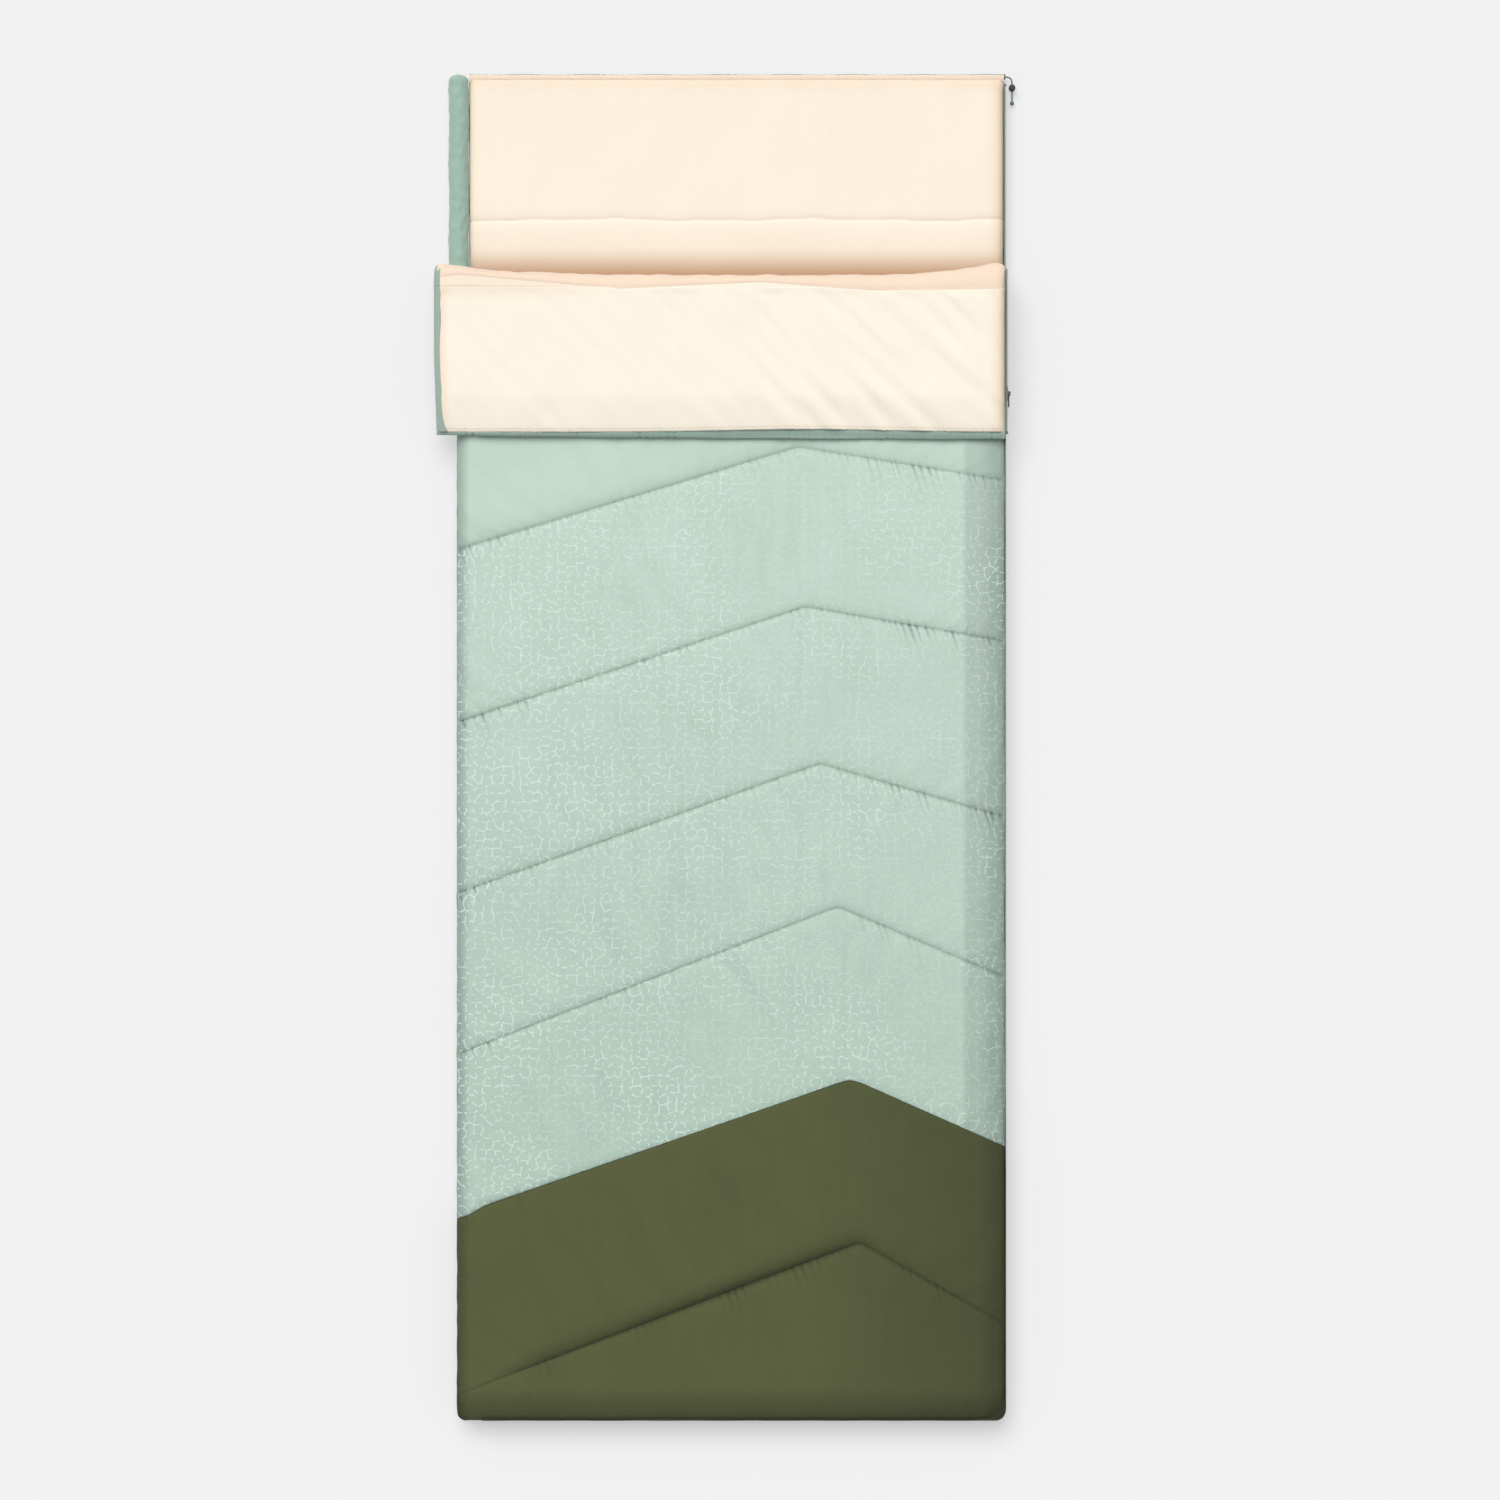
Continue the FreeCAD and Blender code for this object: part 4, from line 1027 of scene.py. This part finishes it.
# a slightly darker copy of the lining: painted shade on the roll's flap side left of x = -0.15
lining_between_shaded = lining_cloth("lining_between_shaded", linear(247, 231, 211))
crease_roll = loop_mesh("crease_roll_cloth", roll_points[:, ::-1],
                        [lining_turned_shaded, mint_edge_shaded, lining_flap_lit, lining_between_shaded])
shell_end = []
for face in crease_roll.data.polygons:
    left = np.interp(face.center.z, [0.033, turn_z, 0.0700], [-0.3870, -0.4170, -0.4186])
    on_flap = face.center.z > 0.078 and face.center.y < crease_seam(np.array([face.center.x]))[0] + 0.0002
    band = 0.0088 if face.center.z > 0.0780 else 0.0060
    lining = 0 if not on_flap else (3 if face.center.x < -0.15 else 2)
    shell_end.append(1 if face.center.x < left + band else lining)
crease_roll.data.polygons.foreach_set("material_index", shell_end)
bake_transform(crease_roll)
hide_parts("crease_roll")
crease_thread = stitches("flap_crease_thread", sewn_line[2:-2] + (0, 0, 0.0002), thread_cream, None)
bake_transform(crease_thread)


# ---- Left side fold ----
# A strip of shell cloth tucked between the two quilts, which lets the bag open flat on that side.
fold_head, fold_foot = 0.640, 0.932
fold_turn = radians(52)
fold_bend = 0.0131
fold_y = spaced(150, 0.1)[::-1, None] * (fold_head + fold_foot) - fold_foot
lower_arc = [(-0.3740 - fold_bend * cos(a), 0.0125 + fold_bend * sin(a)) for a in np.linspace(0, fold_turn, 8)]
upper_arc = [(x, 0.058 - z) for x, z in lower_arc[::-1]]
fold_path = np.array(lower_arc + [(-0.3808, 0.0258), (-0.3800, 0.0290), (-0.3808, 0.0322)] + upper_arc)
fold_x = fold_path[None, :, 0] + 0 * fold_y
fold_z = fold_path[None, :, 1] + 0 * fold_y
fold_x = fold_x + 0.0004 * soft_noise(fold_y + 0 * fold_x, fold_z * 2, 0.03, 51)
fold_points = np.stack([fold_x, fold_y + 0 * fold_x, fold_z], -1)
side_fold = cloth_mesh("left_side_fold_cloth", fold_points[::-1], mint_plain)
side_fold.data.materials.append(olive)
fold_olive = np.repeat(fold_y[::-1][:-1, 0] < -0.664, fold_path.shape[0] - 1)
side_fold.data.polygons.foreach_set("material_index", fold_olive.astype(np.int32))
closed_cloth(side_fold, 0.0004)
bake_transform(side_fold)
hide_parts("left_side_fold")


# ---- Zip ----
# Nylon coils sewn to woven tapes, along the right edge and the foot. Below the slider the coils are meshed; above it
# they lie apart.
coil_pitch = 0.0025
quilt_zip_head, flap_zip_foot = 0.6434, 0.4415
turn_radius = 0.0262
zip_side = 0.3837
zip_foot = -0.9467
zip_corner = 0.0147
slider_y = 0.497


def zip_place(run, head):
    """Place and heading on the quilt's edge at that distance from the head end of a tape."""
    side_run = head - (zip_foot + zip_corner)
    corner_run = zip_corner * pi / 2
    if run <= side_run:
        return (zip_side, head - run), (0.0, -1.0)
    if run <= side_run + corner_run:
        angle = (run - side_run) / zip_corner
        return ((zip_side - zip_corner * (1 - cos(angle)), zip_foot + zip_corner * (1 - sin(angle))),
                (-sin(angle), -cos(angle)))
    return (zip_side - zip_corner - (run - side_run - corner_run), zip_foot), (-1.0, 0.0)


def zip_length(head):
    return head - (zip_foot + zip_corner) + zip_corner * pi / 2 + (zip_side - zip_corner + 0.352)


def tape_mesh(name, head, low, high, material, body):
    """A woven strip on edge along the zip's path."""
    total = zip_length(head)
    runs = np.concatenate([np.arange(0, total, 0.006), [total]])
    levels = np.linspace(low, high, 7)
    points = []
    for run in runs:
        (x, y), (tx, ty) = zip_place(run, head)
        ripple = 0.00012 * sin(run / 0.013)
        points.append([(x + ripple * -ty, y + ripple * tx, z) for z in levels])
    tape = cloth_mesh(name, np.array(points), material)
    thick = closed_cloth(tape, 0.0007)
    thick.modifiers[0].offset = 0
    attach(tape, body)
    return tape


def round_tube(name, path, axis_points, radius, sides, material):
    """A tube along a coil: its section is turned to the coil's own axis, so it never twists."""
    heading = np.gradient(path, axis=0)
    heading /= np.linalg.norm(heading, axis=1)[:, None]
    outwards = path - axis_points
    outwards -= heading * (outwards * heading).sum(1)[:, None]
    outwards /= np.linalg.norm(outwards, axis=1)[:, None]
    beside = np.cross(heading, outwards)
    angle = np.linspace(0, 2 * pi, sides, endpoint=False)
    rings = (path[:, None] + radius * (outwards[:, None] * np.cos(angle)[None, :, None]
                                       + beside[:, None] * np.sin(angle)[None, :, None]))
    return loop_mesh(name, rings, [material])


def coil_path(runs, place, middle, half_height, half_width, pitch, phase):
    """Points of a flattened helix along the zip, and the points of its axis."""
    path, axis = [], []
    for run in runs:
        (x, y), (tx, ty) = place(run)
        turn = 2 * pi * run / pitch + phase
        out = half_width * cos(turn)
        path.append((x - ty * out, y + tx * out, middle(y) + half_height * sin(turn)))
        axis.append((x, y, middle(y)))
    return np.array(path), np.array(axis)


zip_cloth = fabric("zip_tape_cloth", linear(150, 170, 160), 0.8, 0.1, threads=1300.0, relief=0.0003, amount=0.1,
                   foot_color=linear(60, 64, 48), change=(-0.46, -0.60))
coil_nylon, coil_tree, coil_shader = plain_material("coil_nylon")
coil_place = add_node(coil_tree, "TexCoord").outputs["Object"]
coil_along = add_node(coil_tree, "SeparateXYZ", None, Vector=coil_place)
coil_share = add_node(coil_tree, "MapRange", None, Value=coil_along.outputs["Y"], From_Min=-0.46, From_Max=-0.60)
coil_mix = add_node(coil_tree, "Mix", {"data_type": "RGBA"}, _0=coil_share.outputs["Result"],
                    _6=linear(142, 160, 150), _7=linear(48, 52, 38))
coil_tone = place_group(coil_tree, MOTTLE, Color=coil_mix.outputs[2], Vector=coil_place, Amount=0.2,
                        Size_per_metre=60.0)
coil_tree.links.new(coil_tone.outputs["Color"], coil_shader.inputs["Base Color"])
coil_cloud = add_node(coil_tree, "TexNoise", None, Vector=coil_place, Scale=2500.0, Detail=2.0)
coil_bump = add_node(coil_tree, "Bump", None, Strength=0.3, Distance=0.0001, Height=coil_cloud.outputs["Fac"])
coil_tree.links.new(coil_bump.outputs["Normal"], coil_shader.inputs["Normal"])
coil_shader.inputs["Roughness"].default_value = 0.35

tape_mesh("lower_zip_tape_weave", 0.930, 0.0062, turn_radius, zip_cloth, "bottom_panel")
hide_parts("lower_zip_tape")
tape_mesh("upper_zip_tape_weave", quilt_zip_head, 0.0318, 0.0518, zip_cloth, "top_panel")
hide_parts("upper_zip_tape")


def chain(name, head, apart, side, phase, body, node):
    """One coil of the zip: meshed with the other below the slider, apart from it above."""
    # the coils also part where the slider's post stands at the foot end of its travel
    parked = slider_y - 1.415
    closing = lambda y: float(step_up(np.array(y), slider_y - 0.009, slider_y + 0.011)
                              + step_up(np.array(y), parked - 0.009, parked + 0.009)
                              - step_up(np.array(y), parked + 0.012, parked + 0.026))
    middle = lambda y: 0.029 + side * (0.0009 + (apart - 0.0009) * closing(y))
    runs = np.arange(0, zip_length(head), coil_pitch / 9)
    path, axis = coil_path(runs, lambda run: zip_place(run, head), middle, 0.0014, 0.0016, coil_pitch, phase)
    coil = round_tube(name, path, axis, 0.00038, 5, coil_nylon)
    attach(coil, body)
    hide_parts(node)
    return coil


chain("lower_zip_coil_wire", 0.930, 0.0030, -1, 0.0, "bottom_panel", "lower_zip_coil")
chain("upper_zip_coil_wire", quilt_zip_head, 0.0030, 1, pi, "top_panel", "upper_zip_coil")

flap_tape_points = np.array([[(zip_side, y, float(thinned(y, z))) for z in np.linspace(0.0647, 0.0847, 7)]
                             for y in np.linspace(quilt_zip_head, flap_zip_foot, 40)])
flap_tape = closed_cloth(cloth_mesh("flap_zip_tape_weave", flap_tape_points, zip_cloth), 0.0007)
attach(flap_tape, "flap")
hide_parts("flap_zip_tape")
flap_runs = np.arange(0, quilt_zip_head - flap_zip_foot, coil_pitch / 9)
flap_path, flap_axis = coil_path(flap_runs, lambda run: ((zip_side, quilt_zip_head - run), (0.0, -1.0)),
                                 lambda y: float(thinned(y, 0.0844)), 0.0012, 0.0016, coil_pitch, 0.0)
flap_coil = round_tube("flap_zip_coil_wire", flap_path, flap_axis, 0.00034, 5, coil_nylon)
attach(flap_coil, "flap")
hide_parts("flap_zip_coil")

# Round the crease the same tape and coil follow the quilt's edge in a half circle.
turn_angles = np.linspace(0, pi, 40)
turn_tape_points = np.array([[(zip_side, 0.6436 + radius * sin(a), turn_z - radius * cos(a))
                              for radius in np.linspace(turn_radius, 0.0065, 7)] for a in turn_angles])
turn_tape = closed_cloth(cloth_mesh("crease_zip_tape_weave", turn_tape_points[::-1], zip_cloth), 0.0007)
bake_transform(turn_tape)
turn_steps = np.linspace(0, pi, int(turn_radius * pi / (coil_pitch / 9)))
turn_path, turn_axis = [], []
for a in turn_steps:
    wind = 2 * pi * a * turn_radius / coil_pitch
    radius = turn_radius + 0.0012 * sin(wind)
    turn_path.append((zip_side + 0.0016 * cos(wind), 0.6436 + radius * sin(a), turn_z - radius * cos(a)))
    turn_axis.append((zip_side, 0.6436 + turn_radius * sin(a), turn_z - turn_radius * cos(a)))
turn_coil = round_tube("crease_zip_coil_wire", np.array(turn_path), np.array(turn_axis), 0.00034, 5, coil_nylon)
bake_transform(turn_coil)


# ---- Slider, pull and stops ----
# Die-cast slider and pull in black enamel, worn at the edges; crimped metal stops.
def enamel(name, color, roughness, metallic=0.0):
    """Hard coated metal: slight orange-peel relief and grime that dulls it in places."""
    material, tree, shader = plain_material(name)
    place = add_node(tree, "TexCoord").outputs["Object"]
    tone = place_group(tree, MOTTLE, Color=color, Vector=place, Amount=0.5, Size_per_metre=220.0)
    tree.links.new(tone.outputs["Color"], shader.inputs["Base Color"])
    grime = add_node(tree, "TexNoise", None, Vector=place, Scale=700.0, Detail=3.0)
    dull = add_node(tree, "MapRange", None, Value=grime.outputs["Fac"], From_Min=0.3, From_Max=0.7,
                    To_Min=roughness - 0.08, To_Max=roughness + 0.12)
    tree.links.new(dull.outputs["Result"], shader.inputs["Roughness"])
    bump = add_node(tree, "Bump", None, Strength=0.3, Distance=0.00008, Height=grime.outputs["Fac"])
    tree.links.new(bump.outputs["Normal"], shader.inputs["Normal"])
    shader.inputs["Metallic"].default_value = metallic
    return material


def finish_node(node, material):
    """Puts a material on a CAD node."""
    piece = bpy.data.objects[node]
    piece.data.materials.clear()
    piece.data.materials.append(material)
    return piece


black_enamel = enamel("black_enamel", linear(26, 27, 27), 0.35)
stop_metal = enamel("stop_metal", linear(88, 94, 88), 0.38, 0.8)
lock_black = enamel("lock_black", linear(24, 25, 25), 0.5)
spring_steel = enamel("spring_steel", linear(170, 170, 172), 0.3, 1.0)
eyelet_metal = enamel("eyelet_metal", linear(92, 98, 92), 0.35, 0.9)
finish_node("slider_body", black_enamel)
finish_node("pull_tab", black_enamel)
finish_node("lower_top_stop", stop_metal)
finish_node("flap_top_stop", stop_metal)
finish_node("zip_bottom_stop", stop_metal)


# ---- Cord lock, eyelet and knot ----
# Moulded lock with a sprung plunger, a pressed eyelet, and the knot that keeps the cord from pulling through.
finish_node("drawcord_eyelet", eyelet_metal)
finish_node("cord_lock_barrel", lock_black)
finish_node("cord_lock_plunger", lock_black)
low_end, high_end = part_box("cord_lock_spring")
spring_axis = ((low_end[0] + high_end[0]) / 2, (low_end[1] + high_end[1]) / 2)
spring_radius, spring_turns = 0.0024, 3.2
spring_turn = np.linspace(0, 2 * pi * spring_turns, 150)
spring_heights = np.interp(spring_turn / spring_turn[-1], [0, 0.15, 0.85, 1],
                           [low_end[2] + 0.0003, low_end[2] + 0.0006, high_end[2] - 0.0006, high_end[2] - 0.0003])
spring_path = np.stack([spring_axis[0] + spring_radius * np.cos(spring_turn),
                        spring_axis[1] + spring_radius * np.sin(spring_turn), spring_heights], -1)
spring_middle = np.stack([0 * spring_turn + spring_axis[0], 0 * spring_turn + spring_axis[1], spring_heights], -1)
spring = round_tube("lock_spring_wire", spring_path, spring_middle, 0.0003, 8, spring_steel)
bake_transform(spring)
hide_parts("cord_lock_spring")
finish_node("drawcord_in_hem", cord_green)
knot = finish_node("drawcord_knot", cord_green)
